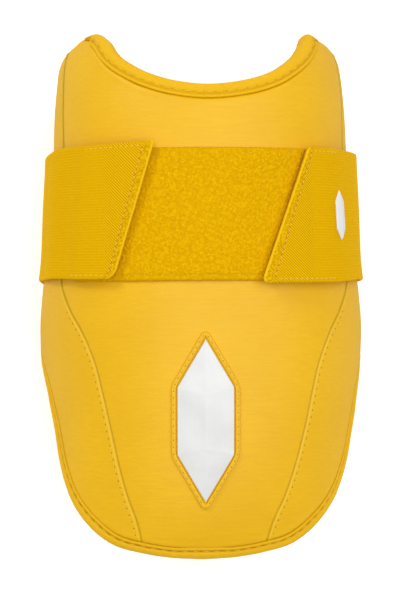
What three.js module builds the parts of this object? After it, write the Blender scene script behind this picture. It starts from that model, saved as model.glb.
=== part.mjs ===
// A batting elbow guard lying on its back: a padded leather shell bent round the outside of the elbow,
// its edge bound with folded tape, and one elastic strap that runs round the back of the shell and
// closes with two hook-faced tips on a loop patch across the front.
// Millimetres. +Z points up, out of the front of the guard. +Y runs from the rounded tongue over the
// forearm to the scooped neckline. +X is to the right of somebody who looks at the front.

import * as THREE from "three";

// The shell, measured over its outer skin.
const SHELL_LENGTH = 203; // from the tip of the tongue to the peaks of the neckline
const SHELL_WIDTH = 126.5; // across the widest section, below the strap
const WAIST_HEIGHT = 34; // height above the floor at which every section is widest
const CROWN_RISE = 45; // from that height up to the front line, at its highest
const WING_REACH = 48; // depth of the half ellipse that the wings follow below the waist
const PAD_THICKNESS = 10; // skin, plate and foam in the middle of a panel
const EDGE_THICKNESS = 6.8; // the same where the binding holds it
const PAD_TAPER = 26; // distance over which the padding thins towards the edge
const SEAM_SINK = 1.3; // how far the skin dives where two panels are sewn together
const SEAM_DIVE = 2.4; // width of the strip over which it does so

// The binding tape, folded round the edge of the shell.
const TAPE_THICKNESS = 1.2;
const NECK_TAPE_COVER = 6; // width of the tape on the face, along the neckline
const SHOULDER_TAPE_COVER = 2; // the same on the shoulders, under the turned leather
const RIM_TAPE_COVER = 5.8; // the same round the wings and the tongue
const TAPE_PROUD = 0.25; // the tape stands this much above the skin
const TAPE_ROUNDING = 1.5; // how far in from the edge the fold rounds off
const EDGE_LEAD = 2; // over this stretch inside the tape, a seam runs square to the edge

// The hook and loop closure and the strap.
const PATCH_LENGTH = 98;
const PATCH_WIDTH = 50;
const PATCH_THICKNESS = 1.7;
const PATCH_CENTRE = 0.147; // from the middle of the shell towards the neckline, as a share of its length
const HOOK_THICKNESS = 1.2;
const STRAP_WIDTH = 51;
const STRAP_THICKNESS = 1.8;
const STRAP_STANDOFF = 0.55; // slack between the strap's lower edge and the shell on the right flank
const STRAP_CORNER = 3; // the strap rounds off where it turns under the wings
const STRAP_DRIFT = 1.6; // how far the strap sags towards the tongue on its way round the back
const TIP_CORNER = 4; // cut off the sharp corner of each tip

// The white badge on the tongue, in its raised frame, and the small one on the strap.
const BADGE_LENGTH = 61;
const BADGE_WIDTH = 21;
const BADGE_RISE = 3.2; // ridge of the badge above the skin
const BADGE_RIM = 1.4; // edge of the badge above the skin
const BADGE_CENTRE = -0.2345; // from the middle of the shell, as a share of its length
const BADGE_SIDE = -1.5; // the badge sits this far off the front line
const POINT_SLOPE = 1.7; // length of a badge's point against half its width
const POINT_FLAT = 0.7; // half the width at which a point is cut off
const FRAME_WIDTH = 1.8;
const FRAME_RISE = 1.1;
const TAG_LENGTH = 19;
const TAG_WIDTH = 5;
const TAG_THICKNESS = 0.8;
const TAG_TURN = 307; // where the small badge sits on the strap, in degrees round from the front line

const CLEARANCE = 0.3; // gap between two pieces that are sewn or pressed together

// Grid sizes.
const PANEL_COLUMNS = 20;
const PANEL_ROWS = 38;
const FINE_STEPS = 240; // steps used to measure the length of a curve

// Sections of the shell. along: share of the length from the tip of the tongue. spread: share of
// the width. crown: share of the crown's rise. lean: how far it stands towards +X, as a share of the
// width.
const SECTIONS = [
  { along: 0.0, spread: 0.875, crown: 0.66, lean: -0.012 },
  { along: 0.05, spread: 0.9, crown: 0.79, lean: -0.011 },
  { along: 0.14, spread: 0.928, crown: 0.9, lean: -0.005 },
  { along: 0.25, spread: 0.953, crown: 0.965, lean: 0 },
  { along: 0.34, spread: 0.972, crown: 0.99, lean: 0 },
  { along: 0.43, spread: 0.993, crown: 1.0, lean: 0 },
  { along: 0.51, spread: 0.976, crown: 1.0, lean: 0 },
  { along: 0.57, spread: 0.951, crown: 1.0, lean: 0 },
  { along: 0.66, spread: 0.932, crown: 0.985, lean: 0 },
  { along: 0.76, spread: 0.908, crown: 0.965, lean: 0 },
  { along: 0.84, spread: 0.898, crown: 0.935, lean: 0 },
  { along: 0.9, spread: 0.882, crown: 0.9, lean: 0 },
  { along: 0.94, spread: 0.862, crown: 0.87, lean: 0 },
  { along: 0.965, spread: 0.831, crown: 0.85, lean: 0 },
  { along: 0.985, spread: 0.797, crown: 0.83, lean: 0 },
  { along: 1.0, spread: 0.76, crown: 0.81, lean: 0 },
];

// The edge of the shell from the middle of the neckline to the tip of the tongue, in four stretches:
// the neckline to just past its peak, the shoulder to the seam, the wing to the other end of the seam,
// and the tongue. round: 0 on the front line, 1 at the waist, 2 on the back edge of a wing.
// rightward: how much further round the row lies on the right, whose peak is narrower. along: share
// of the length.
const NECKLINE = [
  { round: 0.0, rightward: 0, along: 0.892 },
  { round: 0.152, rightward: 0.018, along: 0.9 },
  { round: 0.272, rightward: 0.026, along: 0.916 },
  { round: 0.355, rightward: 0.023, along: 0.9325 },
  { round: 0.423, rightward: 0.021, along: 0.9486 },
  { round: 0.476, rightward: 0.0275, along: 0.9645 },
  { round: 0.536, rightward: 0.033, along: 0.983 },
  { round: 0.635, rightward: -0.009, along: 0.997 },
  { round: 0.749, rightward: -0.057, along: 0.989 },
];
const SHOULDER = [
  { round: 0.8, along: 0.9795 },
  { round: 0.875, along: 0.9695 },
];
const WING_EDGE = [
  { round: 1.0, along: 0.956 },
  { round: 1.25, along: 0.94 },
  { round: 1.55, along: 0.918 },
  { round: 1.8, along: 0.883 },
  { round: 1.95, along: 0.838 },
  { round: 2.0, along: 0.77 },
  { round: 2.0, along: 0.64 },
  { round: 2.0, along: 0.52 },
  { round: 1.88, along: 0.452 },
  { round: 1.5, along: 0.407 },
  { round: 1.14, along: 0.376 },
  { round: 0.93, along: 0.33 },
  { round: 0.842, along: 0.255 },
  { round: 0.782, along: 0.177 },
  { round: 0.692, along: 0.113 },
  { round: 0.56, along: 0.062 },
  { round: 0.42, along: 0.027 },
];
const TONGUE = [
  { round: 0.275, along: 0.0116 },
  { round: 0.15, along: 0.0035 },
  { round: 0.0, along: 0.0 },
];

// The seam between the front panel and a side panel, from the neckline down.
const SEAM = [
  { round: 0.842, along: 0.885 },
  { round: 0.825, along: 0.84 },
  { round: 0.8, along: 0.77 },
  { round: 0.772, along: 0.67 },
  { round: 0.745, along: 0.585 },
  { round: 0.705, along: 0.52 },
  { round: 0.62, along: 0.47 },
  { round: 0.545, along: 0.43 },
  { round: 0.49, along: 0.38 },
  { round: 0.455, along: 0.32 },
  { round: 0.42, along: 0.25 },
  { round: 0.385, along: 0.185 },
  { round: 0.35, along: 0.125 },
  { round: 0.315, along: 0.075 },
];

// The wings end just above the strap, where it has rounded off on to the floor.
const wingEdgeHeight = STRAP_THICKNESS + STRAP_CORNER / 2 + TAPE_PROUD + 2 * CLEARANCE;
const wingEdgeAngle = THREE.MathUtils.radToDeg(Math.acos((wingEdgeHeight - WAIST_HEIGHT) / WING_REACH));

// A column of a table at one station, on a smooth curve through its rows.
function read(table, column, station) {
  const last = table.length - 1;
  const slopeAt = (i) => {
    const before = table[Math.max(i - 1, 0)];
    const after = table[Math.min(i + 1, last)];
    return (after[column] - before[column]) / (after.along - before.along);
  };
  let i = 0;
  while (i < last - 1 && table[i + 1].along < station) i += 1;
  const span = table[i + 1].along - table[i].along;
  const t = (station - table[i].along) / span;
  const rise = table[i + 1][column] - table[i][column];
  const bend = (1 - t) * (slopeAt(i) * span - rise) - t * (slopeAt(i + 1) * span - rise);
  return table[i][column] + rise * t + t * (1 - t) * bend;
}

// The point of the outer skin at an angle round from the front line, in degrees, and a distance y
// along the shell from the middle of its length.
function skinPoint(angle, y) {
  const station = THREE.MathUtils.clamp(y / SHELL_LENGTH + 0.5, 0, 1);
  const halfWidth = (SHELL_WIDTH / 2) * read(SECTIONS, "spread", station);
  const radians = THREE.MathUtils.degToRad(angle);
  const depth = Math.cos(radians) > 0 ? CROWN_RISE * read(SECTIONS, "crown", station) : WING_REACH;
  const across = SHELL_WIDTH * read(SECTIONS, "lean", station) + halfWidth * Math.sin(radians);
  return new THREE.Vector3(across, y, WAIST_HEIGHT + depth * Math.cos(radians));
}

// How the skin runs round and along at a place: two tangents, and the normal that points outwards.
function skinFrame(place) {
  const step = 0.5;
  const around = skinPoint(place.x + step, place.y).sub(skinPoint(place.x - step, place.y));
  const along = skinPoint(place.x, place.y + step).sub(skinPoint(place.x, place.y - step));
  const normal = new THREE.Vector3().crossVectors(around, along).normalize();
  return { around, along, normal };
}

// A place on the shell is a Vector2: x is the angle round in degrees, y the distance along in mm.
function onSkin(place, lift) {
  return skinPoint(place.x, place.y).addScaledVector(skinFrame(place).normal, lift);
}

const placeOf = (row, side) => {
  const round = row.round + (side > 0 ? row.rightward ?? 0 : 0);
  const angle = round <= 1 ? 90 * round : 90 + (round - 1) * (wingEdgeAngle - 90);
  return new THREE.Vector3(side * angle, (row.along - 0.5) * SHELL_LENGTH, 0);
};

const rimRows = [...NECKLINE, ...SHOULDER, ...WING_EDGE, ...TONGUE];
const rimRight = rimRows.map((row) => placeOf(row, 1));
const rimLeft = rimRows.slice(1, -1).reverse().map((row) => placeOf(row, -1));
const rim = new THREE.CatmullRomCurve3([...rimRight, ...rimLeft], true, "centripetal");
const rimCount = rimRight.length + rimLeft.length;
const neckEnd = (NECKLINE.length - 1) / rimCount;
const seamTop = neckEnd + SHOULDER.length / rimCount;
const seamBottom = seamTop + (WING_EDGE.length + 1) / rimCount;

// Shares from 0 to 1 with a narrow first and last step for the skin's dive into a seam.
function sharesWithEdges(count, edge) {
  const inner = Array.from({ length: count + 1 }, (_, i) => edge + ((1 - 2 * edge) * i) / count);
  return [0, ...inner, 1];
}

// Parameters of a curve between two of its own parameters, at shares of the length between them.
function parametersAt(curve, start, end, shares) {
  const at = (i) => start + ((end - start) * i) / FINE_STEPS;
  const lengths = [0];
  for (let i = 1; i <= FINE_STEPS; i += 1) {
    const before = curve.getPoint((at(i - 1) + 1) % 1);
    const after = curve.getPoint((at(i) + 1) % 1);
    lengths.push(lengths[i - 1] + before.distanceTo(after));
  }
  return shares.map((share) => {
    const wanted = share * lengths[FINE_STEPS];
    let i = 1;
    while (i < FINE_STEPS && lengths[i] < wanted) i += 1;
    const part = (wanted - lengths[i - 1]) / (lengths[i] - lengths[i - 1]);
    return at(i - 1 + part);
  });
}

// The place that lies a distance inwards from the rim, square to it on the skin.
function insideRim(parameter, distance) {
  const at = (parameter + 1) % 1;
  const place = rim.getPoint(at);
  const heading = rim.getTangent(at);
  const { around, along } = skinFrame(place);
  const inward = new THREE.Vector2(heading.y * along.length(), -heading.x * around.length());
  inward.normalize().multiplyScalar(distance);
  return new THREE.Vector2(place.x + inward.x / around.length(), place.y + inward.y / along.length());
}

// Width of the tape on the face of the shell. On the shoulders, from a peak to just past the seam, the
// leather is turned over the edge and the tape is hardly seen.
const TAPE_NARROWS = 0.7; // from here to the neckline's end, as a share of the neckline's half
const TAPE_WIDENS = 2; // over this many rows of the wing's edge
function tapeCover(parameter) {
  const fromNeck = Math.abs(parameter - Math.round(parameter));
  const ontoShoulder = THREE.MathUtils.smoothstep(fromNeck, TAPE_NARROWS * neckEnd, neckEnd);
  const offShoulder = THREE.MathUtils.smoothstep(fromNeck, seamTop, seamTop + TAPE_WIDENS / rimCount);
  const atShoulder = THREE.MathUtils.lerp(NECK_TAPE_COVER, SHOULDER_TAPE_COVER, ontoShoulder);
  return THREE.MathUtils.lerp(atShoulder, RIM_TAPE_COVER, offShoulder);
}

function seamCurve(side) {
  const start = insideRim(side * seamTop, SHOULDER_TAPE_COVER + EDGE_LEAD);
  const end = insideRim(side * seamBottom, RIM_TAPE_COVER + EDGE_LEAD);
  const middle = SEAM.map((row) => placeOf(row, side));
  const ends = [start, end].map((place) => new THREE.Vector3(place.x, place.y, 0));
  return new THREE.CatmullRomCurve3([ends[0], ...middle, ends[1]], false, "centripetal");
}

const rimPoints = Array.from({ length: FINE_STEPS }, (_, i) => {
  const place = rim.getPoint(i / FINE_STEPS);
  return skinPoint(place.x, place.y);
});

// Thickness of the padding, thinner towards the edge of the shell.
function paddingAt(place) {
  const point = skinPoint(place.x, place.y);
  const distance = Math.min(...rimPoints.map((other) => other.distanceTo(point)));
  const share = THREE.MathUtils.smoothstep(distance, RIM_TAPE_COVER, PAD_TAPER);
  return THREE.MathUtils.lerp(EDGE_THICKNESS, PAD_THICKNESS, share);
}

// A geometry from points and faces of point numbers, with no shared normals.
function facetedGeometry(points, faces) {
  const geometry = new THREE.BufferGeometry().setFromPoints(points);
  geometry.setIndex(faces.flat());
  const flat = geometry.toNonIndexed();
  flat.computeVertexNormals();
  return flat;
}

// A closed sheet from a grid of cells that hold an outer and an inner point. Seen from outside, the
// rows run along +Y and the columns to the right.
function sheetGeometry(cells) {
  const rows = cells.length;
  const columns = cells[0].length;
  const points = cells.flat().flatMap((cell) => [cell.outer, cell.inner]);
  const outer = (i, j) => 2 * (i * columns + j);
  const inner = (i, j) => outer(i, j) + 1;
  const faces = [];
  const addQuad = (a, b, c, d) => faces.push([a, b, c], [a, c, d]);
  for (let i = 0; i + 1 < rows; i += 1) {
    for (let j = 0; j + 1 < columns; j += 1) {
      addQuad(outer(i, j), outer(i, j + 1), outer(i + 1, j + 1), outer(i + 1, j));
      addQuad(inner(i, j), inner(i + 1, j), inner(i + 1, j + 1), inner(i, j + 1));
    }
    addQuad(outer(i, 0), outer(i + 1, 0), inner(i + 1, 0), inner(i, 0));
    const end = columns - 1;
    addQuad(outer(i, end), inner(i, end), inner(i + 1, end), outer(i + 1, end));
  }
  for (let j = 0; j + 1 < columns; j += 1) {
    addQuad(outer(0, j + 1), outer(0, j), inner(0, j), inner(0, j + 1));
    addQuad(outer(rows - 1, j), outer(rows - 1, j + 1), inner(rows - 1, j + 1), inner(rows - 1, j));
  }
  return facetedGeometry(points, faces);
}

// A closed solid through rings of points, each ring counter-clockwise as seen from the next ring.
function loftGeometry(rings) {
  const size = rings[0].length;
  const points = rings.flat();
  const faces = [];
  for (let i = 0; i + 1 < rings.length; i += 1) {
    for (let j = 0; j < size; j += 1) {
      const next = (j + 1) % size;
      faces.push([i * size + j, i * size + next, (i + 1) * size + next]);
      faces.push([i * size + j, (i + 1) * size + next, (i + 1) * size + j]);
    }
  }
  const contour = capContour(rings[0]);
  const last = (rings.length - 1) * size;
  for (const [a, b, c] of contour) {
    faces.push([a, c, b], [last + a, last + b, last + c]);
  }
  return facetedGeometry(points, faces);
}

// Triangles that fill a flat ring of points, with the ring's own turn.
function capContour(ring) {
  const normal = new THREE.Vector3();
  ring.forEach((point, i) => {
    const next = ring[(i + 1) % ring.length];
    normal.add(new THREE.Vector3().crossVectors(point, next));
  });
  normal.normalize();
  const across = ring[1].clone().sub(ring[0]).normalize();
  const up = new THREE.Vector3().crossVectors(normal, across);
  const flat = ring.map((point) => new THREE.Vector2(point.dot(across), point.dot(up)));
  return THREE.ShapeUtils.triangulateShape(flat, []);
}

// One cell of a panel: lift is where the skin lies against the form, depth how far below it the
// padding ends.
function panelCell(place, lift, depth) {
  return { outer: onSkin(place, lift), inner: onSkin(place, -depth) };
}

// The three cells of a panel's edge, from inside the folded tape to just clear of it.
function edgeCells(parameter) {
  const held = TAPE_THICKNESS - TAPE_PROUD + CLEARANCE;
  const clear = insideRim(parameter, tapeCover(parameter) + CLEARANCE);
  return [
    panelCell(insideRim(parameter, TAPE_THICKNESS + CLEARANCE), -held, EDGE_THICKNESS - held),
    panelCell(clear, -held, EDGE_THICKNESS - held),
    panelCell(clear, -SEAM_SINK / 3, EDGE_THICKNESS),
  ];
}

// Moves a cell towards its neighbour by half the clearance, to part two panels at their seam.
function partFrom(cell, neighbour) {
  for (const face of ["outer", "inner"]) {
    const step = neighbour[face].clone().sub(cell[face]);
    cell[face] = cell[face].clone().addScaledVector(step.normalize(), CLEARANCE / 2);
  }
}

const seamShares = Array.from({ length: PANEL_ROWS + 1 }, (_, i) => i / PANEL_ROWS);
const columnShares = sharesWithEdges(PANEL_COLUMNS, SEAM_DIVE / SHELL_WIDTH);
const neckParameters = parametersAt(rim, -seamTop, seamTop, columnShares);
for (const end of [-neckEnd, neckEnd]) {
  const distances = neckParameters.map((parameter) => Math.abs(parameter - end));
  neckParameters[distances.indexOf(Math.min(...distances))] = end;
}
const tongueParameters = parametersAt(rim, 1 - seamBottom, seamBottom, columnShares);
const wingParameters = parametersAt(rim, seamTop, seamBottom, seamShares);

function seamPlaces(side) {
  const curve = seamCurve(side);
  return parametersAt(curve, 0.0005, 0.9995, seamShares).map((t) => curve.getPoint(t));
}

// The front panel, from the neckline to the tongue between the two seams.
function frontPanelGeometry() {
  const left = seamPlaces(-1);
  const right = seamPlaces(1);
  const top = neckParameters.map((parameter) => insideRim(parameter, tapeCover(parameter) + EDGE_LEAD));
  const bottom = tongueParameters.map((parameter) => insideRim(parameter, RIM_TAPE_COVER + EDGE_LEAD));
  const last = columnShares.length - 1;
  const blend = (a, b, share) => new THREE.Vector2().lerpVectors(a, b, share);
  const filled = seamShares.map((down, row) =>
    columnShares.map((across, column) => {
      const fromEnds = blend(top[column], bottom[column], down);
      const fromSides = blend(left[row], right[row], across);
      const corners = blend(blend(top[0], top[last], across), blend(bottom[0], bottom[last], across), down);
      const place = fromEnds.add(fromSides).sub(corners);
      const lift = column === 0 || column === last ? -SEAM_SINK : 0;
      return panelCell(place, lift, paddingAt(place));
    }),
  );
  const edge = (parameters) => {
    const strips = parameters.map((parameter) => edgeCells(parameter));
    return [0, 1, 2].map((i) => strips.map((strip) => strip[i]));
  };
  const cells = [
    ...edge(tongueParameters),
    ...filled.reverse(),
    ...edge(neckParameters).reverse(),
  ];
  for (const row of cells) {
    partFrom(row[0], row[1]);
    partFrom(row[last], row[last - 1]);
  }
  return sheetGeometry(cells);
}

// A side panel, from its seam round the flank to the edge of the wing.
function sidePanelGeometry(side) {
  const seam = seamPlaces(side);
  const cells = seamShares.map((_, row) => {
    const parameter = side * wingParameters[row];
    const edge = edgeCells(parameter).reverse();
    const outer = insideRim(parameter, tapeCover(parameter) + CLEARANCE);
    const width = onSkin(outer, 0).distanceTo(onSkin(seam[row], 0));
    const shares = [0, Math.min(SEAM_DIVE / width, 0.2), 0.3, 0.55, 0.8];
    const filled = shares.map((share, column) => {
      const place = new THREE.Vector2().lerpVectors(seam[row], outer, share);
      const lift = column === 0 ? -SEAM_SINK : 0;
      return panelCell(place, lift, paddingAt(place));
    });
    return [...filled, ...edge];
  });
  for (const row of cells) partFrom(row[0], row[1]);
  const lastRow = cells.length - 1;
  cells[0].forEach((cell, j) => partFrom(cell, cells[1][j]));
  cells[lastRow].forEach((cell, j) => partFrom(cell, cells[lastRow - 1][j]));
  cells.reverse();
  return sheetGeometry(side > 0 ? cells : cells.map((row) => row.reverse()));
}

// Folded tape along a stretch of the rim: a channel that takes the panels' edge.
function tapeGeometry(parameters) {
  const inside = TAPE_THICKNESS;
  const face = TAPE_PROUD;
  const back = -EDGE_THICKNESS - TAPE_PROUD;
  const rings = parameters.map((parameter) => {
    const cover = tapeCover(parameter);
    const section = [
      { inward: cover, lift: face - inside },
      { inward: inside, lift: face - inside },
      { inward: inside, lift: back + inside },
      { inward: cover, lift: back + inside },
      { inward: cover, lift: back },
      { inward: TAPE_ROUNDING, lift: back },
      { inward: TAPE_ROUNDING / 4, lift: back + 0.8 * TAPE_ROUNDING },
      { inward: 0, lift: (face + back) / 2 },
      { inward: TAPE_ROUNDING / 4, lift: face - 0.8 * TAPE_ROUNDING },
      { inward: TAPE_ROUNDING, lift: face },
      { inward: cover, lift: face },
    ];
    return section.map((corner) => onSkin(insideRim(parameter, corner.inward), corner.lift));
  });
  return loftGeometry(rings);
}

// Stops a run of parameters short of both ends by half the clearance.
function shortened(parameters) {
  const gap = CLEARANCE / 2 / lengthOfRim;
  const trimmed = [...parameters];
  trimmed[0] += gap;
  trimmed[trimmed.length - 1] -= gap;
  return trimmed;
}

const lengthOfRim = rimPoints.reduce((sum, point, i) => sum + point.distanceTo(rimPoints.at(i - 1)), 0);

// The angle round at which the skin reaches a distance across from the front line.
function angleAcross(x, y) {
  const frontLine = skinPoint(0, y).x;
  return THREE.MathUtils.radToDeg(Math.asin((x - frontLine) / (skinPoint(90, y).x - frontLine)));
}

const patchMiddle = PATCH_CENTRE * SHELL_LENGTH;
const patchTop = CLEARANCE + PATCH_THICKNESS;
const hookTop = patchTop + CLEARANCE + HOOK_THICKNESS;

// The loop patch across the front panel.
function patchGeometry() {
  const rows = 4;
  const columns = 18;
  const cells = Array.from({ length: rows + 1 }, (_, i) => {
    const y = patchMiddle + PATCH_WIDTH * (i / rows - 0.5);
    return Array.from({ length: columns + 1 }, (_, j) => {
      const place = new THREE.Vector2(angleAcross(PATCH_LENGTH * (j / columns - 0.5), y), y);
      return { outer: onSkin(place, patchTop), inner: onSkin(place, CLEARANCE) };
    });
  });
  return sheetGeometry(cells);
}

// The two tips. end: where the tip ends across from the front line, halfway up its slant. slant: how
// far the slant runs towards +X from the strap's lower edge to its upper one. hooks: where the hooks
// behind the tip stop.
const LEFT_TIP = { end: -0.268 * PATCH_LENGTH, slant: 0.286 * STRAP_WIDTH, hooks: -0.434 * PATCH_LENGTH };
const RIGHT_TIP = { end: 0.276 * PATCH_LENGTH, slant: 0.345 * STRAP_WIDTH, hooks: 0.439 * PATCH_LENGTH };

// The strap's way round the shell. turn: degrees from the front line, going left, so that 180 is the
// back. lift: from the skin to the inner face of the strap's lower edge. tilt: how much further off
// the skin its upper edge is. drift: how far the middle of the strap lies from the middle of the patch,
// as a share of its full drift. breadth: share of the strap's width.
const onLeather = CLEARANCE + 0.1;
const onTape = TAPE_PROUD + 2 * CLEARANCE;
const onPatch = patchTop + CLEARANCE;
const onHook = hookTop + CLEARANCE;
const patchEnd = angleAcross(PATCH_LENGTH / 2, patchMiddle);
const leftHookEnd = angleAcross(-LEFT_TIP.hooks, patchMiddle) + 2;
const rightHookEnd = angleAcross(RIGHT_TIP.hooks, patchMiddle) + 3;
const flank = 96; // degrees from the front line where the strap leaves the left flank for the wing
const offPatch = (share) => THREE.MathUtils.lerp(patchEnd, flank, share);
const STRAP_RUN = [
  { turn: 0, lift: onHook, tilt: 0, drift: 1.1, breadth: 1.03 },
  { turn: leftHookEnd, lift: onHook, tilt: 0, drift: 0.5, breadth: 0.99 },
  { turn: offPatch(0.02), lift: onPatch, tilt: 0, drift: 0.65, breadth: 0.985 },
  { turn: offPatch(0.25), lift: onPatch, tilt: 0.4, drift: 0.55, breadth: 0.977 },
  { turn: offPatch(0.55), lift: onLeather, tilt: 1, drift: 0.22, breadth: 0.963 },
  { turn: flank, lift: onLeather, tilt: 1, drift: -0.38, breadth: 0.937 },
  { turn: 110, lift: onTape, tilt: 0.5, drift: -1, breadth: 0.95 },
  { turn: 180, lift: onTape, tilt: 0, drift: -1, breadth: 0.97 },
  { turn: 240, lift: onTape, tilt: 0.3, drift: -1, breadth: 0.97 },
  { turn: 256, lift: onTape, tilt: 0.8, drift: -0.4, breadth: 0.965 },
  { turn: 360 - offPatch(0.7), lift: STRAP_STANDOFF, tilt: 1.7, drift: 0, breadth: 0.965 },
  { turn: 360 - offPatch(0.2), lift: onPatch, tilt: 0.4, drift: 0.03, breadth: 0.975 },
  { turn: 360 - rightHookEnd, lift: onHook, tilt: 0, drift: -0.2, breadth: 1 },
  { turn: 360, lift: onHook, tilt: 0, drift: -0.15, breadth: 1.01 },
].map((row) => ({ ...row, along: row.turn }));

// The end of a tip across from the front line, at a share of the strap's width from its lower edge.
function tipEnd(tip, share) {
  const slanted = tip.end + tip.slant * (share - 0.5);
  const onCorner = share < TIP_CORNER / STRAP_WIDTH / 2;
  return onCorner ? slanted + Math.sign(tip.end) * TIP_CORNER * 0.6 : slanted;
}

// Height of the strap's middle layer, which bottoms out on the floor in a rounded turn.
function aboveFloor(height) {
  const rest = STRAP_THICKNESS / 2;
  const over = height - rest;
  if (over >= STRAP_CORNER) return height;
  if (over <= -STRAP_CORNER) return rest;
  return rest + (over + STRAP_CORNER) ** 2 / (4 * STRAP_CORNER);
}

// The middle layer of the strap at a turn and at a share of its width.
function strapMiddle(turn, share) {
  const breadth = STRAP_WIDTH * read(STRAP_RUN, "breadth", turn);
  const drift = STRAP_DRIFT * read(STRAP_RUN, "drift", turn);
  const y = patchMiddle + drift + breadth * (share - 0.5);
  const lift = read(STRAP_RUN, "lift", turn) + share * read(STRAP_RUN, "tilt", turn) + STRAP_THICKNESS / 2;
  const point = onSkin(new THREE.Vector2(-turn, y), lift);
  point.z = aboveFloor(point.z);
  return point;
}

// Both faces of the strap at a turn and at a share of its width.
function strapCell(turn, share) {
  const middle = strapMiddle(turn, share);
  const run = strapMiddle(turn + 0.4, share).sub(strapMiddle(turn - 0.4, share));
  const facing = new THREE.Vector3(run.z, 0, -run.x).normalize();
  return {
    outer: middle.clone().addScaledVector(facing, STRAP_THICKNESS / 2),
    inner: middle.clone().addScaledVector(facing, -STRAP_THICKNESS / 2),
  };
}

const acrossShares = [0, 0.07, 0.36, 0.64, 0.93, 1];
const turnAcross = (x, share) => {
  const y = patchMiddle + STRAP_WIDTH * (share - 0.5);
  return x < 0 ? angleAcross(-x, y) : 360 - angleAcross(x, y);
};

// Turns at which the strap is cut, from the end of the hooks to the far side of the floor's corner.
const flankStart = 54;
const cornerTurn = wingEdgeAngle + 4;
const flankEnd = cornerTurn - 16;
const flankSteps = 8;
const flankTurns = [
  ...Array.from({ length: flankSteps }, (_, i) => flankStart + ((flankEnd - flankStart) * i) / flankSteps),
  ...[-16, -10, -6, -3, 0, 3, 8].map((offset) => cornerTurn + offset),
];

function strapGeometry() {
  const tipSteps = 3;
  const backTurns = [155, 170, 190, 205];
  const middleTurns = [...flankTurns, ...backTurns, ...flankTurns.map((turn) => 360 - turn).reverse()];
  const cells = acrossShares.map((share) => {
    const leftTip = turnAcross(tipEnd(LEFT_TIP, share), share);
    const leftEnd = turnAcross(LEFT_TIP.hooks, share);
    const rightEnd = turnAcross(RIGHT_TIP.hooks, share);
    const rightTip = turnAcross(tipEnd(RIGHT_TIP, share), share);
    const ramp = (a, b) => Array.from({ length: tipSteps }, (_, i) => a + ((b - a) * i) / tipSteps);
    const turns = [...ramp(leftTip, leftEnd), leftEnd, ...middleTurns];
    turns.push(...ramp(rightEnd, rightTip), rightTip);
    return turns.map((turn) => strapCell(turn, share)).reverse();
  });
  return sheetGeometry(cells);
}

// The hooks sewn behind a tip, kept just inside its outline.
function hookGeometry(tip) {
  const inset = 0.8;
  const steps = 5;
  const low = inset / STRAP_WIDTH;
  const shares = [low, 0.09, 0.36, 0.64, 0.93, 1 - low];
  const cells = shares.map((share) => {
    const start = tipEnd(tip, share) + Math.sign(tip.end) * inset;
    const row = Array.from({ length: steps + 1 }, (_, i) => {
      const x = start + ((tip.hooks - start) * i) / steps;
      const y = strapMiddle(turnAcross(x, share), share).y;
      const place = new THREE.Vector2(angleAcross(x, y), y);
      return { outer: onSkin(place, hookTop), inner: onSkin(place, patchTop + CLEARANCE) };
    });
    return tip.end < 0 ? row.reverse() : row;
  });
  return sheetGeometry(cells);
}

// Bends a flat point on to the front of the shell, at a height above the skin.
function onFront(x, y, lift) {
  const along = BADGE_CENTRE * SHELL_LENGTH + y;
  return onSkin(new THREE.Vector2(angleAcross(x + BADGE_SIDE, along), along), lift);
}

// The badge: a long hexagon whose facets rise to a ridge.
function badgeGeometry() {
  const half = BADGE_LENGTH / 2;
  const point = (POINT_SLOPE * BADGE_WIDTH) / 2;
  const tip = half - POINT_FLAT * POINT_SLOPE;
  const ridgeEnd = half - 1.2 * point;
  const ends = [tip, half - 0.55 * point, half - point, ridgeEnd, ridgeEnd / 3];
  const stations = [...ends.map((y) => -y), ...[...ends].reverse()];
  const columns = 6;
  const cells = stations.map((y) => {
    const halfWidth = Math.min(BADGE_WIDTH / 2, (half - Math.abs(y)) / POINT_SLOPE);
    const ridge = THREE.MathUtils.clamp((tip - Math.abs(y)) / (tip - ridgeEnd), 0, 1);
    return Array.from({ length: columns + 1 }, (_, j) => {
      const share = (2 * j) / columns - 1;
      const rise = (BADGE_RISE - BADGE_RIM) * ridge * (1 - Math.abs(share));
      const x = halfWidth * share;
      return { outer: onFront(x, y, BADGE_RIM + rise), inner: onFront(x, y, CLEARANCE) };
    });
  });
  return sheetGeometry(cells);
}

// The raised frame that is stitched down round the badge.
function frameGeometry() {
  const ring = (margin) => {
    const halfWidth = BADGE_WIDTH / 2 + margin;
    const half = BADGE_LENGTH / 2 + margin * Math.hypot(1, POINT_SLOPE);
    const shoulder = half - POINT_SLOPE * halfWidth;
    const corners = [
      [0, half],
      [-halfWidth, shoulder],
      [-halfWidth, -shoulder],
      [0, -half],
      [halfWidth, -shoulder],
      [halfWidth, shoulder],
    ];
    return corners.flatMap(([x, y], i) => {
      const [nextX, nextY] = corners[(i + 1) % corners.length];
      const steps = x === nextX ? 6 : 3;
      const part = (k) => [x + ((nextX - x) * k) / steps, y + ((nextY - y) * k) / steps];
      return Array.from({ length: steps }, (_, k) => part(k));
    });
  };
  const inner = ring(CLEARANCE);
  const outer = ring(CLEARANCE + FRAME_WIDTH);
  const points = inner.flatMap(([x, y], i) => {
    const [outerX, outerY] = outer[i];
    return [
      onFront(x, y, CLEARANCE),
      onFront(outerX, outerY, CLEARANCE),
      onFront(outerX, outerY, FRAME_RISE),
      onFront(x, y, FRAME_RISE),
    ];
  });
  const faces = [];
  inner.forEach((_, i) => {
    const next = (i + 1) % inner.length;
    for (let j = 0; j < 4; j += 1) {
      const beside = (j + 1) % 4;
      faces.push([4 * i + j, 4 * next + j, 4 * next + beside]);
      faces.push([4 * i + j, 4 * next + beside, 4 * i + beside]);
    }
  });
  return facetedGeometry(points, faces);
}

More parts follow.
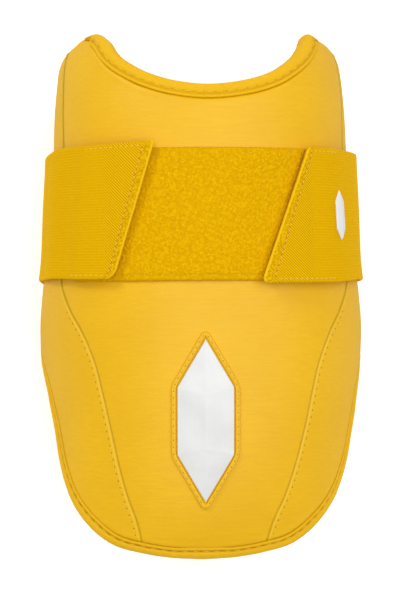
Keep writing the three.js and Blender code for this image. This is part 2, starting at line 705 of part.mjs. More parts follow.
// The small badge on the strap's right flank.
function tagGeometry() {
  const shoulder = (TAG_LENGTH - POINT_SLOPE * TAG_WIDTH) / 2;
  const outline = [
    { x: 0, y: TAG_LENGTH / 2 },
    { x: -TAG_WIDTH / 2, y: shoulder },
    { x: -TAG_WIDTH / 2, y: -shoulder },
    { x: 0, y: -TAG_LENGTH / 2 },
    { x: TAG_WIDTH / 2, y: -shoulder },
    { x: TAG_WIDTH / 2, y: shoulder },
  ];
  const facing = strapCell(TAG_TURN, 0.5).outer.clone().sub(strapCell(TAG_TURN, 0.5).inner).normalize();
  const degree = strapMiddle(TAG_TURN + 0.5, 0.5).distanceTo(strapMiddle(TAG_TURN - 0.5, 0.5));
  const layer = (lift) =>
    outline.map((corner) => {
      const share = 0.5 + corner.y / STRAP_WIDTH;
      return strapCell(TAG_TURN - corner.x / degree, share).outer.clone().addScaledVector(facing, lift);
    });
  const points = [...layer(CLEARANCE), ...layer(CLEARANCE + TAG_THICKNESS)];
  const faces = [];
  for (let i = 0; i < 6; i += 1) {
    const next = (i + 1) % 6;
    faces.push([i, next, 6 + next], [i, 6 + next, 6 + i]);
  }
  for (let i = 1; i < 5; i += 1) faces.push([6, 6 + i, 7 + i], [0, i + 1, i]);
  return facetedGeometry(points, faces);
}

const leather = new THREE.MeshStandardMaterial({ color: 0xf0b90a, roughness: 0.48, metalness: 0 });
const tape = new THREE.MeshStandardMaterial({ color: 0xe0a806, roughness: 0.75, metalness: 0 });
const loopPile = new THREE.MeshStandardMaterial({ color: 0xe2ac05, roughness: 0.95, metalness: 0 });
const hooks = new THREE.MeshStandardMaterial({ color: 0xd8a40a, roughness: 0.8, metalness: 0 });
const elastic = new THREE.MeshStandardMaterial({ color: 0xdca804, roughness: 0.85, metalness: 0 });
const whiteRubber = new THREE.MeshStandardMaterial({ color: 0xeeeeea, roughness: 0.4, metalness: 0 });

function piece(name, geometry, material) {
  const mesh = new THREE.Mesh(geometry, material);
  mesh.name = name;
  return mesh;
}

const shell = new THREE.Group();
shell.add(piece("front_panel", frontPanelGeometry(), leather));
shell.add(piece("side_panel_right", sidePanelGeometry(1), leather));
shell.add(piece("side_panel_left", sidePanelGeometry(-1), leather));

const neckStretch = neckParameters.filter((parameter) => Math.abs(parameter) <= neckEnd);
const rightShoulder = neckParameters.slice(0, -1).filter((parameter) => parameter >= neckEnd);
const leftShoulder = neckParameters.slice(1).filter((parameter) => parameter <= -neckEnd);
const rightRim = [...rightShoulder, ...wingParameters, ...tongueParameters.slice(1, -1).reverse()];
const leftWing = wingParameters.map((parameter) => 1 - parameter).reverse();
const leftRim = [...leftWing, ...leftShoulder.map((parameter) => 1 + parameter)];
shell.add(piece("neck_binding", tapeGeometry(shortened(neckStretch)), tape));
shell.add(piece("rim_binding", tapeGeometry(shortened([...rightRim, ...leftRim])), tape));

const closure = new THREE.Group();
closure.add(piece("loop_patch", patchGeometry(), loopPile));
closure.add(piece("hook_left", hookGeometry(LEFT_TIP), hooks));
closure.add(piece("hook_right", hookGeometry(RIGHT_TIP), hooks));
closure.add(piece("strap", strapGeometry(), elastic));
closure.add(piece("strap_badge", tagGeometry(), whiteRubber));

const emblem = new THREE.Group();
emblem.add(piece("badge", badgeGeometry(), whiteRubber));
emblem.add(piece("badge_frame", frameGeometry(), leather));

// The guard rests on the strap's back stretch, with its origin below the middle of its outline.
const guard = new THREE.Group();
guard.add(shell, closure, emblem);
const outline = new THREE.Box3().setFromObject(guard);
const centre = outline.getCenter(new THREE.Vector3());
guard.position.set(-centre.x, -centre.y, -outline.min.z);

export default guard;
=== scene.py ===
# A batting elbow guard, lying on its back with the strap closed across its front.
# Lengths are millimetres while a piece is shaped, and metres once it is finished.
import math

import bmesh
import bpy
import numpy as np
from mathutils import Matrix, Vector, noise
from mathutils.kdtree import KDTree


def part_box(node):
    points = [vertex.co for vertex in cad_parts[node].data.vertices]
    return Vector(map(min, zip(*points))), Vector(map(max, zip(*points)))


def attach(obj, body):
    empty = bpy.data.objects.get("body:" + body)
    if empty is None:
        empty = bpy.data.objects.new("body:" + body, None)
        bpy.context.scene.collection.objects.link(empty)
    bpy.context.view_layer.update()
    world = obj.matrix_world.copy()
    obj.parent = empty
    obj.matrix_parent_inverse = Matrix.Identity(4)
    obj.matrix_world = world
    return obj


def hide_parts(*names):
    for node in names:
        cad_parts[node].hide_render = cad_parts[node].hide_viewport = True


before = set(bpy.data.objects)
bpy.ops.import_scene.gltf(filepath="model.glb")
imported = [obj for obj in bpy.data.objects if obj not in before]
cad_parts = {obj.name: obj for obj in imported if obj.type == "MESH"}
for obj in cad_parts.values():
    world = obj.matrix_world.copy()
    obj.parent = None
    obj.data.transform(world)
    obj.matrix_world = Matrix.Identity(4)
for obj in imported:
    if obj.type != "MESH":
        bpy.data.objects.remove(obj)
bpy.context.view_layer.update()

# The shell: a moulded plate and foam between synthetic leather and a brushed lining, bent round the
# outside of the elbow. All pieces are laid on this form. A place on it is an angle round from the
# front line, in degrees, and a distance along it from the middle of its length.
SHELL_LENGTH = 203
SHELL_WIDTH = 126.5
WAIST_HEIGHT = 34
CROWN_RISE = 45
WING_REACH = 48
WING_ANGLE = 128.45
PATCH_MIDDLE = 29.841

# Share of the length from the tongue, share of the width, share of the crown's rise, and the lean to
# the right as a share of the width.
SECTIONS = np.array([
    (0, 0.875, 0.66, -0.012), (0.05, 0.9, 0.79, -0.011), (0.14, 0.928, 0.9, -0.005),
    (0.25, 0.953, 0.965, 0), (0.34, 0.972, 0.99, 0), (0.43, 0.993, 1, 0), (0.51, 0.976, 1, 0),
    (0.57, 0.951, 1, 0), (0.66, 0.932, 0.985, 0), (0.76, 0.908, 0.965, 0), (0.84, 0.898, 0.935, 0),
    (0.9, 0.882, 0.9, 0), (0.94, 0.862, 0.87, 0), (0.965, 0.831, 0.85, 0), (0.985, 0.797, 0.83, 0),
    (1, 0.76, 0.81, 0),
])

patch_low, patch_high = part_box("loop_patch")
shell_place = np.array((
    (patch_low.x + patch_high.x) * 500,
    (patch_low.y + patch_high.y) * 500 - PATCH_MIDDLE,
    0,
))


def smooth_rows(table, column, at):
    """A column of a table on a smooth curve through its rows, whose first column is the place."""
    x, y = table[:, 0], table[:, column]
    slope = np.concatenate((
        [(y[1] - y[0]) / (x[1] - x[0])],
        (y[2:] - y[:-2]) / (x[2:] - x[:-2]),
        [(y[-1] - y[-2]) / (x[-1] - x[-2])],
    ))
    i = np.clip(np.searchsorted(x, at) - 1, 0, len(x) - 2)
    span = x[i + 1] - x[i]
    rise = y[i + 1] - y[i]
    t = (at - x[i]) / span
    bend = (1 - t) * (slope[i] * span - rise) - t * (slope[i + 1] * span - rise)
    return y[i] + rise * t + t * (1 - t) * bend


def station(along):
    return np.clip(along / SHELL_LENGTH + 0.5, 0, 1)


def half_width(along):
    return SHELL_WIDTH / 2 * smooth_rows(SECTIONS, 1, station(along))


def lean(along):
    return SHELL_WIDTH * smooth_rows(SECTIONS, 3, station(along))


def skin(place):
    """The point of the outer skin at a place."""
    turn, along = np.radians(place[..., 0]), place[..., 1]
    crown = CROWN_RISE * smooth_rows(SECTIONS, 2, station(along))
    depth = np.where(np.cos(turn) > 0, crown, WING_REACH)
    across = lean(along) + half_width(along) * np.sin(turn)
    return np.stack((across, along, WAIST_HEIGHT + depth * np.cos(turn)), -1) + shell_place


def skin_runs(place):
    """How far the skin runs for one degree round and for one millimetre along."""
    around = skin(place + (0.5, 0)) - skin(place - (0.5, 0))
    along = skin(place + (0, 0.5)) - skin(place - (0, 0.5))
    return around, along


def on_skin(place, lift):
    """A point lifted off the skin, square to it."""
    normal = np.cross(*skin_runs(place))
    normal /= np.linalg.norm(normal, axis=-1, keepdims=True)
    return skin(place) + normal * np.asarray(lift, float)[..., None]


def smooth_line(points, at, closed=False):
    """Points on a smooth curve through the given ones, for shares of it from 0 to 1."""
    points = np.asarray(points, float)
    count = len(points)
    if closed:
        at = (at % 1) * count
        i = np.minimum(at.astype(int), count - 1)
        p0, p1, p2, p3 = (points[(i + k) % count] for k in (-1, 0, 1, 2))
    else:
        at = np.clip(at, 0, 1) * (count - 1)
        i = np.minimum(at.astype(int), count - 2)
        first, last = 2 * points[0] - points[1], 2 * points[-1] - points[-2]
        longer = np.vstack((first, points, last))
        p0, p1, p2, p3 = (longer[i + k] for k in range(4))
    w = (at - i)[:, None]
    before, here, after = (
        np.linalg.norm(b - a, axis=1, keepdims=True) ** 0.5 for a, b in ((p0, p1), (p1, p2), (p2, p3))
    )
    leave = ((p1 - p0) / before - (p2 - p0) / (before + here) + (p2 - p1) / here) * here
    reach = ((p2 - p1) / here - (p3 - p1) / (here + after) + (p3 - p2) / after) * here
    bend = 3 * (p2 - p1) - 2 * leave - reach
    return p1 + w * leave + w**2 * bend + w**3 * (2 * (p1 - p2) + leave + reach)


# The edge of the shell and the side seams, from the top down. Share of the quarter turn (past 1, of
# the wing), share of the length, and how much further round it lies on the right where the two sides
# differ.
NECKLINE = (
    (0, 0.892, 0), (0.152, 0.9, 0.018), (0.272, 0.916, 0.026), (0.355, 0.9325, 0.023),
    (0.423, 0.9486, 0.021), (0.476, 0.9645, 0.0275), (0.536, 0.983, 0.033), (0.635, 0.997, -0.009),
    (0.749, 0.989, -0.057),
)
SHOULDER = ((0.8, 0.9795), (0.875, 0.9695))
WING_EDGE = (
    (1, 0.956), (1.25, 0.94), (1.55, 0.918), (1.8, 0.883), (1.95, 0.838), (2, 0.77), (2, 0.64),
    (2, 0.52), (1.88, 0.452), (1.5, 0.407), (1.14, 0.376), (0.93, 0.33), (0.842, 0.255),
    (0.782, 0.177), (0.692, 0.113), (0.56, 0.062), (0.42, 0.027),
)
TONGUE = ((0.275, 0.0116), (0.15, 0.0035), (0, 0))
SEAM = (
    (0.812, 0.885, 0.03), (0.795, 0.84, 0.03), (0.772, 0.77, 0.028), (0.75, 0.67, 0.022),
    (0.73, 0.585, 0.015), (0.7, 0.52, 0.005), (0.62, 0.47), (0.545, 0.43), (0.49, 0.38),
    (0.455, 0.32), (0.42, 0.25), (0.385, 0.185), (0.344, 0.125), (0.298, 0.075),
)

# How far in from the edge the tape covers the face, how far the leather is tucked under it, and how
# far in from the edge the leather ends where it is let out and then turned over on the shoulders.
NECK_COVER = 6
SHOULDER_COVER = 2
RIM_COVER = 5.8
TUCKED = 1.4
LET_OUT_DEPTH = 0.9
TURNED_DEPTH = 0.15

# How far past the tape's inner edge a seam's smooth curve ends, at its top and at its foot.
SEAM_LEAD = 2
SEAM_FOOT_LEAD = -0.6


def places(rows, side=1):
    turns = np.array([row[0] + (row[2] if len(row) > 2 and side > 0 else 0) for row in rows])
    along = np.array([row[1] for row in rows])
    angle = side * (np.minimum(turns, 1) * 90 + np.maximum(turns - 1, 0) * (WING_ANGLE - 90))
    return np.stack((angle, (along - 0.5) * SHELL_LENGTH), -1)


rim_rows = NECKLINE + SHOULDER + WING_EDGE + TONGUE
rim_places = np.vstack((places(rim_rows), places(rim_rows[-2:0:-1], -1)))
neck_end = (len(NECKLINE) - 1) / len(rim_places)
neck_right = neck_end + 0.3 / len(rim_places)
seam_top = neck_end + len(SHOULDER) / len(rim_places)
seam_bottom = seam_top + (len(WING_EDGE) + 0.9) / len(rim_places)


def inward_step(line):
    """The change of place for one millimetre to the right of a line's way over the skin."""
    heading = np.gradient(line, axis=0)
    around, along = (np.linalg.norm(run, axis=-1) for run in skin_runs(line))
    step = np.stack((heading[:, 1] * along, -heading[:, 0] * around), -1)
    step /= np.linalg.norm(step, axis=1, keepdims=True)
    return step / np.stack((around, along), -1)


def eased(value, low, high):
    share = np.clip((value - low) / (high - low), 0, 1)
    return share**2 * (3 - 2 * share)


def past(at):
    """How far along its half of the neckline a place is, as a share, and 1 past the side seam."""
    from_neck = at - np.round(at)
    half_neck = np.where(from_neck > 0, neck_right, neck_end)
    past_seam = eased(np.abs(from_neck), seam_top, seam_top + 2 / len(rim_places))
    return np.abs(from_neck) / half_neck, past_seam


def turned_over(at):
    """1 on the shoulders, where the leather is turned over the tape, and 0 elsewhere."""
    neck_share, past_seam = past(at)
    return eased(neck_share, 0.955, 1.01) * (1 - past_seam)


def rim_stretch(start, end, count=900):
    """Places along the edge of the shell, and how far in the tape covers the face there."""
    at = np.linspace(start, end, count)
    neck_share, past_seam = past(at)
    cover = NECK_COVER + (SHOULDER_COVER - NECK_COVER) * eased(neck_share, 0.8, 1.01)
    return smooth_line(rim_places, at, closed=True), cover + (RIM_COVER - cover) * past_seam


def panel_edge(start, end, count=900):
    """Where a panel ends: tucked under the tape, or turned over the edge on the shoulders."""
    line, cover = rim_stretch(start, end, count)
    at = np.linspace(start, end, count)
    neck_share, past_seam = past(at)
    let_out = eased(neck_share, 0.45, 0.8) * (1 - past_seam)
    depth = (cover - TUCKED) * (1 - let_out) + LET_OUT_DEPTH * let_out
    depth += (TURNED_DEPTH - depth) * turned_over(at)
    return line, inward_step(line) * np.sign(end - start), depth, cover


def run_along(points):
    """How far each point of a line lies from its start."""
    return np.concatenate(([0], np.cumsum(np.linalg.norm(np.diff(points, axis=0), axis=1))))


def along_line(line, shares):
    """Places on a line at shares of its length over the skin."""
    length = run_along(skin(line))
    return np.stack([np.interp(shares * length[-1], length, line[:, k]) for k in (0, 1)], -1)


def seam_line(side):
    """A seam from the neckline to the tongue, with both ends tucked under the tape."""
    middle = places(SEAM, side)
    ends = []
    for at, lead in ((side * seam_top, SEAM_LEAD), (side * seam_bottom, SEAM_FOOT_LEAD)):
        line, step, depth, cover = panel_edge(at - 0.002, at + 0.002, 5)
        depths = np.linspace(depth[2], cover[2] + lead, 8)
        ends.append(line[2] + step[2] * depths[:, None])
    through = np.vstack((ends[0][-1], middle, ends[1][-1]))
    curve = smooth_line(through, np.linspace(0, 1, 1200))
    return np.vstack((ends[0][:-1], curve, ends[1][-2::-1]))


seams = {side: seam_line(side) for side in (-1, 1)}
whole_rim, whole_cover = rim_stretch(0, 1, 3000)
whole_turned = turned_over(np.linspace(0, 1, 3000))


def dye(red, green, blue):
    """A colour as the eye reads it, from 0 to 255, as a shader wants it."""
    return *(((c / 255 + 0.055) / 1.055) ** 2.4 if c > 10 else c / 3295 for c in (red, green, blue)), 1


def new_finish(name, roughness):
    material = bpy.data.materials.new(name)
    material.use_nodes = True
    material.node_tree.nodes["Principled BSDF"].inputs["Roughness"].default_value = roughness
    return material


def node(material, kind, inputs, **settings):
    """Adds a shader node whose inputs are values or other nodes' outputs."""
    made = material.node_tree.nodes.new("ShaderNode" + kind)
    for key, value in settings.items():
        setattr(made, key, value)
    for key, value in inputs.items():
        if isinstance(value, bpy.types.NodeSocket):
            material.node_tree.links.new(value, made.inputs[key])
        else:
            made.inputs[key].default_value = value
    return made


def spot_on(material):
    return node(material, "TexCoord", {}).outputs["Object"]


def marked(material, key):
    """A mark that the points of a piece carry."""
    return node(material, "Attribute", {}, attribute_name=key).outputs["Fac"]


def shaded(material, **inputs):
    """Joins outputs to a finish's shader, or sets its sockets."""
    shader = material.node_tree.nodes["Principled BSDF"]
    for key, value in inputs.items():
        socket = shader.inputs[key.replace("_", " ")]
        if isinstance(value, bpy.types.NodeSocket):
            material.node_tree.links.new(value, socket)
        else:
            socket.default_value = value


def blended(material, share, low, high):
    """A colour, or a weave, between two, by a share from 0 to 1."""
    return node(material, "MixRGB", {"Fac": share, "Color1": low, "Color2": high}).outputs["Color"]


def scaled(material, value, low, high, to_low=0.0, to_high=1.0):
    ends = {"Value": value, "From Min": low, "From Max": high, "To Min": to_low, "To Max": to_high}
    return node(material, "MapRange", ends).outputs["Result"]


def speckle(material, vector, scale, detail=3.0, stretch=(1, 1, 1)):
    turned = node(material, "Mapping", {"Vector": vector, "Scale": stretch}).outputs["Vector"]
    made = node(material, "TexNoise", {"Vector": turned, "Scale": scale, "Detail": detail})
    return made.outputs["Fac"]


def raised(material, height, depth, under=None):
    """A bump of a real depth in metres, on top of another."""
    inputs = {"Height": height, "Distance": depth, "Strength": 1.0}
    if under is not None:
        inputs["Normal"] = under
    return node(material, "Bump", inputs).outputs["Normal"]


YELLOW_SHEEN = dye(255, 204, 0)
LEATHER_YELLOW = dye(240, 187, 4)
LEATHER_CLOUD = dye(236, 182, 2)
LEATHER_STREAK = dye(228, 172, 0)
# Painted shade, for the seams, beside the tape and at the foot of the badge welt.
LEATHER_PAINTED_SHADE = dye(192, 158, 0)
# Painted highlight, for the seam's ridge and the top of the badge welt.
LEATHER_PAINTED_HIGHLIGHT = dye(246, 198, 30)

leather = new_finish("leather", 0.5)
spot = spot_on(leather)
# Painted shade from the edge mark.
edge = marked(leather, "edge")
# Painted highlight from this mark.
painted_highlight = marked(leather, "painted_highlight")
cloud = scaled(leather, speckle(leather, spot, 38), 0.35, 0.65)
streaks = speckle(leather, spot, 1300, 2.0, (0.08, 1, 0.3))
colour = blended(leather, cloud, LEATHER_YELLOW, LEATHER_CLOUD)
colour = blended(leather, scaled(leather, streaks, 0.35, 0.7, 0, 0.4), colour, LEATHER_STREAK)
colour = blended(leather, edge, colour, LEATHER_PAINTED_SHADE)
colour = blended(leather, painted_highlight, colour, LEATHER_PAINTED_HIGHLIGHT)
pores = node(leather, "TexVoronoi", {"Vector": spot, "Scale": 1250.0}, feature="F1").outputs["Distance"]
bump = raised(leather, streaks, 0.00005)
bump = raised(leather, pores, 0.00004, bump)
roughness = scaled(leather, speckle(leather, spot, 160), 0.3, 0.7, 0.4, 0.48)
shaded(
    leather, Base_Color=colour, Normal=bump, Roughness=roughness, Specular_IOR_Level=0.36,
    Sheen_Weight=0.2, Sheen_Roughness=0.5, Sheen_Tint=YELLOW_SHEEN,
)

lining = new_finish("lining", 0.9)
spot = spot_on(lining)
nap = speckle(lining, spot, 700, 4.0)
colour = blended(lining, scaled(lining, nap, 0.3, 0.7), dye(196, 142, 6), dye(222, 168, 22))
shaded(lining, Base_Color=colour, Normal=raised(lining, nap, 0.0004), Sheen_Weight=0.35)


def laid_slab(columns, rows):
    """A flat slab, one cell thick, and where each of its points lies across, along and inside."""
    bm = bmesh.new()
    bmesh.ops.create_grid(bm, x_segments=columns, y_segments=rows, size=0.5)
    bmesh.ops.solidify(bm, geom=bm.faces[:], thickness=1)
    flat = np.array([vert.co for vert in bm.verts])
    return bm, flat[:, 0] + 0.5, flat[:, 1] + 0.5, -flat[:, 2]


def added(name, data):
    made = bpy.data.objects.new(name, data)
    bpy.context.scene.collection.objects.link(made)
    return made


def finish_piece(
    name, bm, materials, replaced=(), attributes=None, points=None, smooth=True, capped=False
):
    """Turns a shaped piece to metres, closes it, and gives it its finish and its place in the frame."""
    if points is not None:
        for vert, point in zip(bm.verts, points / 1000):
            vert.co = point
    mesh = bpy.data.meshes.new(name)
    for key, values in (attributes or {}).items():
        layer = bm.verts.layers.float.new(key)
        bm.verts.ensure_lookup_table()
        for vert, value in zip(bm.verts, values):
            vert[layer] = value
    bmesh.ops.remove_doubles(bm, verts=bm.verts[:], dist=2e-6)
    if capped:
        bmesh.ops.holes_fill(bm, edges=[edge for edge in bm.edges if edge.is_boundary], sides=0)
    bmesh.ops.recalc_face_normals(bm, faces=bm.faces[:])
    for face in bm.faces:
        face.smooth = smooth
    bm.to_mesh(mesh)
    bm.free()
    for material in materials:
        mesh.materials.append(material)
    piece = added(name, mesh)
    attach(piece, "root")
    if replaced:
        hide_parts(*replaced)
    return piece


def nearest(line, points):
    """The distance of each point from a line, and the place in the line that is nearest to it."""
    tree = KDTree(len(line))
    for i, point in enumerate(line):
        tree.insert(point, i)
    tree.balance()
    found = [tree.find(point) for point in points]
    return np.array([hit[2] for hit in found]), np.array([hit[1] for hit in found])


def crowded(share, amount):
    """Draws the shares from 0 to 1 closer together near both ends."""
    return share - amount * np.sin(2 * np.pi * share) / (2 * np.pi)


def hump(distance, centre, reach):
    return np.exp(-(((distance - centre) / reach) ** 2))


PAD_THICKNESS = 10
EDGE_THICKNESS = 6.8
PAD_TAPER = 26
TURN_RADIUS = 2.4

rim_points = skin(whole_rim)
seam_points = np.vstack([skin(seams[side]) for side in (-1, 1)])


def padded_panel(columns, rows, place_of, seam_lift, seam_painted_highlight):
    """A panel with crowded edges, laid on the foam, drawn down and painted with shade at its seams and
    tape.
    """
    bm, across, along, inside = laid_slab(columns, rows)
    place = place_of(crowded(across, 0.8), crowded(along, 0.8))
    points = skin(place)
    from_rim, rim_at = nearest(rim_points, points)
    from_seam, seam_at = nearest(seam_points, points)
    from_tape = from_rim - whole_cover[rim_at]
    turned = whole_turned[rim_at]
    pucker = np.array([noise.noise((0.9 * i, 0, 0)) for i in range(len(seam_points) // 20 + 1)])
    pucker = np.interp(seam_at / 20, np.arange(len(pucker)), pucker)
    drawn = 0.4 + 0.6 * np.clip((place[:, 1] + 20) / 50, 0, 1)
    steep = np.clip((np.abs(place[:, 0]) - 55) / 20, 0, 1)
    lift = seam_lift(from_seam) * drawn + 0.08 * pucker * np.exp(-from_seam / 3.5)
    beside_tape = 0.1 * hump(from_tape, 1.6, 0.9) - 0.5 * hump(from_tape, 0, 0.4)
    under_tape = np.where(from_tape < 0, -1.3, beside_tape)
    round_edge = -TURN_RADIUS * (1 - np.sqrt(1 - np.clip(1 - from_rim / TURN_RADIUS, 0, 1) ** 2))
    lift += under_tape * (1 - turned) + round_edge * turned
    padding = EDGE_THICKNESS + (PAD_THICKNESS - EDGE_THICKNESS) * eased(from_rim, RIM_COVER, PAD_TAPER)
    # Painted shade: darker in the seam's groove, wider on the steep flanks, and beside the tape's inner
    # edge. The caller's mark beside the seam is a painted highlight.
    tape_shade = 0.4 * hump(np.maximum(from_tape, 0), 0, 0.35) * (1 - turned)
    seam_shade = hump(from_seam, 0, 0.5 + 0.7 * steep) + 0.4 * hump(from_seam, 0, 0.8)
    painted_edge_shade = np.clip(drawn * seam_shade + tape_shade, 0, 1)
    shown = inside < 0.5
    shape = on_skin(place, np.where(shown, lift, -padding))
    for face in bm.faces:
        face.material_index = int(all(vert.co.z < -0.5 for vert in face.verts))
    marks = {"edge": painted_edge_shade * shown, "painted_highlight": seam_painted_highlight(from_seam) * shown}
    return bm, shape, marks


def front_place(across, along):
    """Fills the front panel between its two seams, the neckline and the tongue."""
    line, step, depth, _ = panel_edge(-seam_top, seam_top)
    neck = line + step * depth[:, None]
    line, step, depth, _ = panel_edge(1 - seam_bottom, seam_bottom)
    tongue = line + step * depth[:, None]
    u, v = across[:, None], 1 - along[:, None]
    top, bottom = along_line(neck, across), along_line(tongue, across)
    left, right = (along_line(seams[side], 1 - along) for side in (-1, 1))
    corners = ((1 - u) * neck[0] + u * neck[-1]) * (1 - v) + ((1 - u) * tongue[0] + u * tongue[-1]) * v
    return top * (1 - v) + bottom * v + left * (1 - u) + right * u - corners


bm, shape, marks = padded_panel(
    150, 200, front_place,
    lambda from_seam: -0.9 * hump(from_seam, 0, 0.4), lambda from_seam: 0 * from_seam,
)
front_leather = finish_piece(
    "front_leather", bm, (leather, lining), ("front_panel",), marks, shape
)

# The side panels: the same leather and foam, carried round the flanks into the wings. They are folded
# under along the seam, which leaves a fine ridge, and are top-stitched beside it.


def side_place(side):
    def place(across, along):
        line, step, depth, _ = panel_edge(side * seam_top, side * seam_bottom)
        rim = line + step * depth[:, None]
        share = (across if side > 0 else 1 - across)[:, None]
        return along_line(seams[side], 1 - along) * (1 - share) + along_line(rim, 1 - along) * share

    return place


def side_seam_lift(from_seam):
    ridge, groove = hump(from_seam, 0.75, 0.4), hump(from_seam, 0, 0.35)
    return 0.22 * ridge - groove - 0.1 * hump(from_seam, 1.7, 0.5)


# Each side panel gets a painted highlight along its seam's ridge.
for side, name in ((-1, "left"), (1, "right")):
    bm, shape, marks = padded_panel(
        64, 220, side_place(side), side_seam_lift, lambda from_seam: 0.9 * hump(from_seam, 0.85, 0.4)
    )
    panel = finish_piece(
        "side_leather_" + name, bm, (leather, lining), ("side_panel_" + name,), marks, shape
    )

# The thread: one yellow bonded thread sews everything. Each stitch is a short plump loop that dives
# into the skin at both ends, and a flat dark disc at each needle hole paints the shade there.
STITCH_PITCH = 4.0
THREAD_WIDTH = 0.5

thread = new_finish("thread", 0.5)
spot = spot_on(thread)
twist = speckle(thread, spot, 2500, 2.0)
shade = blended(thread, scaled(thread, twist, 0.3, 0.7), dye(229, 175, 5), dye(244, 198, 40))
shaded(thread, Base_Color=shade, Normal=raised(thread, twist, 0.0001), Sheen_Weight=0.2)

# Painted shade: flat dark discs stand for the shade in the needle holes.
needle_hole_shade = new_finish("needle_hole_shade", 0.9)
spot = spot_on(needle_hole_shade)
fray = scaled(needle_hole_shade, speckle(needle_hole_shade, spot, 1800), 0.3, 0.7)
shaded(needle_hole_shade, Base_Color=blended(needle_hole_shade, fray, dye(158, 118, 0), dye(184, 140, 2)))


def sewn_line(threads, hole_shades, line, facing, pitch=STITCH_PITCH, thread_share=0.72, hole=0.36):
    """Sets stitches along a line of points, each turned to face out of the cloth."""
    run = run_along(line)
    count = max(int(run[-1] / pitch), 1)
    pitch = run[-1] / count

    def frame_at(distance):
        at = np.clip(distance, 0, run[-1])
        point, up = (
            np.array([np.interp(at, run, row[:, k]) for k in range(3)]) for row in (line, facing)
        )
        ahead, behind = (
            np.array([np.interp(np.clip(at + d, 0, run[-1]), run, line[:, k]) for k in range(3)])
            for d in (0.4, -0.4)
        )
        way = (ahead - behind) / np.linalg.norm(ahead - behind)
        up = up - way * (up @ way)
        up /= np.linalg.norm(up)
        turned = np.eye(4)
        turned[:3, :3] = np.stack((way, np.cross(up, way), up), 1)
        turned[:3, 3] = point / 1000
        return Matrix(turned.tolist())

    for i in range(count):
        size = (pitch * thread_share / 2000, THREAD_WIDTH / 2000, THREAD_WIDTH / 2400)
        bmesh.ops.create_uvsphere(
            threads, u_segments=8, v_segments=6, radius=1,
            matrix=frame_at((i + 0.5) * pitch) @ Matrix.Diagonal((*size, 1)),
        )
    # A flat dark disc of painted shade at each needle hole.
    for i in range(count + 1):
        size = (hole / 1000, hole * 0.75 / 1000, 0.12 / 1000)
        bmesh.ops.create_uvsphere(
            hole_shades, u_segments=8, v_segments=4, radius=1,
            matrix=frame_at(i * pitch) @ Matrix.Diagonal((*size, 1)),
        )


def unit(rows):
    return rows / np.linalg.norm(rows, axis=-1, keepdims=True)


def sewn_on_skin(threads, hole_shades, line, lift, **spacing):
    facing = unit(np.cross(*skin_runs(line)))
    sewn_line(threads, hole_shades, on_skin(line, np.full(len(line), lift)), facing, **spacing)


def finish_sewing(name, threads, hole_shades):
    finish_piece(name + "_stitches", threads, (thread,))
    finish_piece(name + "_needle_hole_shades", hole_shades, (needle_hole_shade,))


SEAM_SEWN = (0.52, 0.975)
SEAM_MARGIN = 1.7
threads, hole_shades = bmesh.new(), bmesh.new()
for side in (-1, 1):
    line = along_line(seams[side], np.linspace(*SEAM_SEWN, 400))
    line = line - side * inward_step(line) * SEAM_MARGIN
    sewn_on_skin(threads, hole_shades, line, -0.04, pitch=2.7, thread_share=0.5, hole=0.34)
finish_sewing("seam", threads, hole_shades)

# The binding: soft tape folded over the edge of the shell and sewn through all its layers, which
# leaves a round welt along its inner edge. One length runs round the neckline, and a second one round
# the wings and the tongue. On the shoulders the leather is turned over both.
TAPE_SECTION = 34
TAPE_WIDTH = 4.2
TAPE_GROOVE = 1.6
TAPE_BACK = -7.05
WELT = (
    (-0.1, -1.0), (0.0, -0.45), (0.12, 0.0), (0.4, 0.22), (0.8, 0.28), (1.15, 0.14), (1.45, -0.18),
    (1.75, -0.26), (2.1, 0.0), (2.6, 0.28), (3.4, 0.36), (4.2, 0.12),
)
TAPE_EDGE = (
    (0.75, -0.5), (0.2, -1.6), (0, -2.7), (0, -4.1), (0.2, -5.2), (0.75, -6.2), (1.7, -6.85),
    (2.8, TAPE_BACK),
)
EDGE_BEND = 1.6


def woven(material, vector, direction, scale, distortion, detail=2.0, detail_scale=1.0):
    """The even bands of a weave or a knit."""
    inputs = {
        "Vector": vector, "Scale": scale, "Distortion": distortion, "Detail": detail,
        "Detail Scale": detail_scale,
    }
    made = node(material, "TexWave", inputs, wave_type="BANDS", bands_direction=direction)
    return made.outputs["Fac"]


def mark_cloth(bm, across, along, width, length):
    """Keeps a piece's flat places, in metres, as its UV map."""
    layer = bm.loops.layers.uv.new("cloth")
    bm.verts.index_update()
    for face in bm.faces:
        for loop in face.loops:
            i = loop.vert.index
            loop[layer].uv = (across[i] * width / 1000, along[i] * length / 1000)


binding_tape = new_finish("binding_tape", 0.62)
cloth = node(binding_tape, "UVMap", {}, uv_map="cloth").outputs["UV"]
spot = spot_on(binding_tape)
# Painted shade along the tape's inner edge and in its stitch groove.
painted_binding_shade = marked(binding_tape, "painted_binding_shade")
knit = woven(binding_tape, cloth, "Y", 520.0, 2.0, 2.0, 2.0)
fuzz = speckle(binding_tape, spot, 1700, 3.0)
worn = scaled(binding_tape, speckle(binding_tape, spot, 70), 0.35, 0.65)
nap = scaled(binding_tape, fuzz, 0.3, 0.7)
colour = blended(binding_tape, nap, dye(232, 176, 2), dye(243, 190, 12))
colour = blended(binding_tape, scaled(binding_tape, knit, 0, 1, 0, 0.12), colour, dye(214, 158, 0))
colour = blended(binding_tape, scaled(binding_tape, worn, 0, 1, 0, 0.3), colour, dye(243, 193, 24))
colour = blended(binding_tape, painted_binding_shade, colour, dye(200, 156, 0))
bump = raised(binding_tape, knit, 0.00005)
bump = raised(binding_tape, fuzz, 0.0001, bump)
shaded(binding_tape, Base_Color=colour, Normal=bump, Specular_IOR_Level=0.2)


